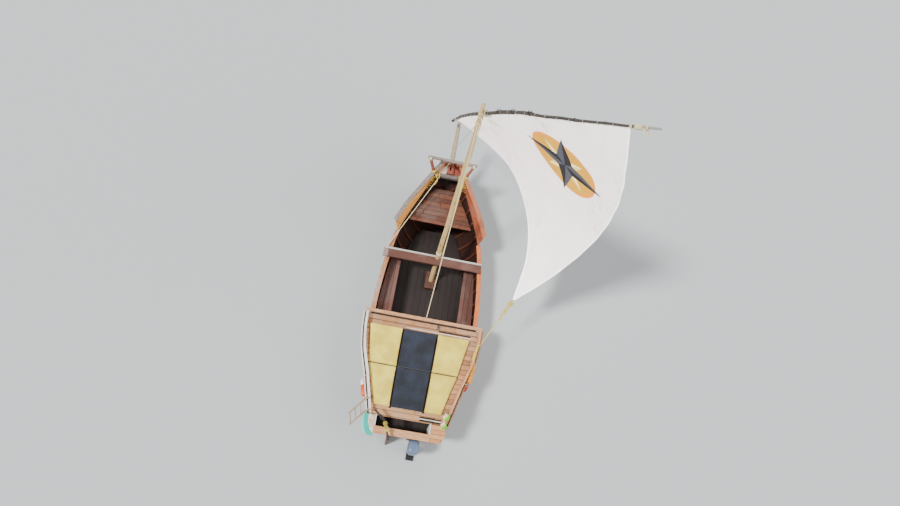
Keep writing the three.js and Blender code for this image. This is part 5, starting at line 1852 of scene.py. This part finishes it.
RAIL_TAIL = [(-1.53, -1.690, 1.330), (-1.62, -1.635, 1.445), (-1.79, -1.585, 1.463), (-1.96, -1.550, 1.463),
             (-2.14, -1.560, 1.390)]
RAIL_TAIL_ROPE = 0.017
RAIL_TAIL_SHIFTS = (0.0, 0.036)
RAIL_COIL = [Vector((-2.12, -1.575, 1.320)), Vector((-2.66, -1.500, 1.250))]
# radius of the turns, first turn
COIL_LAYERS = [(0.078, 0.0), (0.066, 2.2), (0.050, 4.0)]


def build_rail_ropes():
    form = Form()
    for shift in RAIL_TAIL_SHIFTS:
        bend = Bend([Vector(p) + Vector((0, shift, 0)) for p in RAIL_TAIL])
        form.rope(bend.path(30), RAIL_TAIL_ROPE, 8)
    for radius, seed in COIL_LAYERS:
        spiral(form, *RAIL_COIL, radius, SHEET_ROPE, 7, 1, seed)
    fit(form.piece("rail_ropes", yellow_rope, amber_rope), "root", "rope")


build_rail_ropes()

# Nail heads, set over marked points by Geometry Nodes

NAIL_SIDES = 7
NAIL_TOP = 0.45
NAIL_RADIUS = 0.009
NAILS_BESIDE_SEAM = (0.28, 0.72)
NAIL_INPUTS = {"Points": "NodeSocketGeometry", "Radius": "NodeSocketFloat", "Height": "NodeSocketFloat"}


def nail_tree(finish):
    """Nail heads on points that carry the way each one faces."""
    tree = bpy.data.node_groups.new("nail_heads", "GeometryNodeTree")
    for label, kind in NAIL_INPUTS.items():
        tree.interface.new_socket(label, in_out="INPUT", socket_type=kind)
    tree.interface.new_socket("Heads", in_out="OUTPUT", socket_type="NodeSocketGeometry")
    start, end = tree.nodes.new("NodeGroupInput"), tree.nodes.new("NodeGroupOutput")
    head = tree.nodes.new("GeometryNodeMeshCone")
    head.inputs["Vertices"].default_value = NAIL_SIDES
    top = tree.nodes.new("ShaderNodeMath")
    top.operation = "MULTIPLY"
    top.inputs[1].default_value = NAIL_TOP
    way = tree.nodes.new("GeometryNodeInputNamedAttribute")
    way.data_type = "FLOAT_VECTOR"
    way.inputs["Name"].default_value = "facing"
    turn = tree.nodes.new("FunctionNodeAlignRotationToVector")
    turn.axis = "Z"
    spread = tree.nodes.new("GeometryNodeInstanceOnPoints")
    real = tree.nodes.new("GeometryNodeRealizeInstances")
    coat = tree.nodes.new("GeometryNodeSetMaterial")
    coat.inputs["Material"].default_value = finish
    for source, output, target, socket in (
            (start, "Points", spread, "Points"), (start, "Radius", head, "Radius Bottom"),
            (start, "Radius", top, 0), (top, 0, head, "Radius Top"), (start, "Height", head, "Depth"),
            (head, "Mesh", spread, "Instance"), (way, "Attribute", turn, "Vector"),
            (turn, 0, spread, "Rotation"), (spread, 0, real, 0), (real, 0, coat, "Geometry"),
            (coat, 0, end, 0)):
        tree.links.new(source.outputs[output], target.inputs[socket])
    return tree


def nails(name, places, tree, radius, high, slot):
    """places holds points with the way each head faces."""
    marks = bpy.data.meshes.new(name)
    marks.from_pydata([tuple(p) for p, _ in places], [], [])
    facing = marks.attributes.new("facing", "FLOAT_VECTOR", "POINT")
    facing.data.foreach_set("vector", [c for _, way in places for c in way])
    piece = add(name, marks)
    maker = piece.modifiers.new("heads", "NODES")
    maker.node_group = tree
    sizes = {"Radius": radius, "Height": high}
    for socket in tree.interface.items_tree:
        if socket.name in sizes:
            maker[socket.identifier] = sizes[socket.name]
    piece.data = final_mesh(piece)
    piece.modifiers.remove(maker)
    return fit(piece, "root", slot)


def hull_nails():
    """Two nails in each strake at each rib, on both sides."""
    places = []
    for x in rib_places():
        for share in ((k + part) / STRAKES for k in range(STRAKES) for part in NAILS_BESIDE_SEAM):
            point = Vector((x, *on_hull(x, share)))
            ahead = Vector((x + 0.05, *on_hull(x + 0.05, share))) - point
            below = Vector((x, *on_hull(x, share + 0.01))) - point
            way = below.cross(ahead).normalized()
            way = way if way.y > 0 else -way
            places.append((point, way))
            places.append((Vector((x, -point.y, point.z)), Vector((way.x, -way.y, way.z))))
    return places


# Rows of nails across the deck: places along the boat, places across it, height
DECK_NAIL_ROWS = [
    ((-1.03, -1.07), (-1.45, -0.95, -0.45, 0.05, 0.55, 1.05, 1.5), 1.2655),
    ((-1.19, -1.285), (-1.3, -0.8, -0.2, 0.3, 0.8, 1.3), 1.2635),
]
RAIL_NAILS = {"count": 8, "fore": -1.5, "aft": -3.7, "in": 0.135, "z": 1.2355}
QUARTER_NAILS = [(-4.03, 0.86), (-4.18, 0.93), (-4.10, -0.80), (-4.22, -0.78), (-4.02, -0.84)]
QUARTER_Z = 1.30


def deck_nails():
    points = [(x, y, z) for xs, ys, z in DECK_NAIL_ROWS for x in xs for y in ys]
    for share in shares_of(RAIL_NAILS["count"]):
        x = between(RAIL_NAILS["fore"], RAIL_NAILS["aft"], share)
        points += [(x, s * (deck_half(x) - RAIL_NAILS["in"]), RAIL_NAILS["z"]) for s in (1, -1)]
    points += [(x, y, QUARTER_Z) for x, y in QUARTER_NAILS]
    return [(Vector(point), Vector((0, 0, 1))) for point in points]


nail_heads = nail_tree(nail_iron)
nails("hull_nail_heads", hull_nails(), nail_heads, NAIL_RADIUS, 0.006, "iron")
nails("deck_nail_heads", deck_nails(), nail_heads, NAIL_RADIUS, 0.005, "iron")

# Stage: a pale floor at the waterline, cut away inside the hull, and soft light

FLOOR_REACH = 160.0
FLOOR_MIDDLE = 0.4
FLOOR_CUT = {"aft": -4.03, "fore": 3.205, "inside": 0.006, "steps": 180}


def waterline_half(x):
    """Half the width of the cut in the floor at x, a little inside the planking."""
    beam, sheer, keel, full = hull_at(x)
    down = sheer / (sheer - keel)
    out = max(1 - down ** full, 0.0) ** (1 / full)
    return max(beam * out - FLOOR_CUT["inside"], 0.0)


def build_floor():
    """The floor lies round the hull's waterline and leaves its inside open."""
    places = [between(FLOOR_CUT["aft"], FLOOR_CUT["fore"], share) for share in shares_of(FLOOR_CUT["steps"])]
    outline = [(x, waterline_half(x)) for x in places]
    ring = outline + mirrored(reversed(outline))
    turns = [math.atan2(y, x + FLOOR_MIDDLE) for x, y in ring]
    far = [(FLOOR_REACH * math.cos(turn), FLOOR_REACH * math.sin(turn)) for turn in turns]
    form = Form()
    form.grid([[Vector((x, y, 0)) for x, y in row] for row in (ring, far)],
              [row + row[:1] for row in (ring, far)], wrap=True)
    finish = Finish("pale_floor", 0.9)
    finish.colour("b4b7b8")
    form.piece("floor", finish.material, smooth=False)


build_floor()


def sun(name, energy, towards, spread):
    data = bpy.data.lights.new(name, "SUN")
    data.energy = energy
    data.angle = math.radians(spread)
    lamp = add(name, data)
    lamp.rotation_mode = "QUATERNION"
    lamp.rotation_quaternion = Vector(towards).to_track_quat("-Z", "Y")


sun("high_soft_sun", 4.6, (0.30, -0.62, -1.0), 9)
sun("fill_sun", 2.0, (0.20, 0.90, -0.62), 60)

world = bpy.data.worlds.new("studio")
world.use_nodes = True
sky = world.node_tree.nodes["Background"].inputs
sky["Color"].default_value = (0.86, 0.88, 0.9, 1)
sky["Strength"].default_value = 0.75
bpy.context.scene.world = world
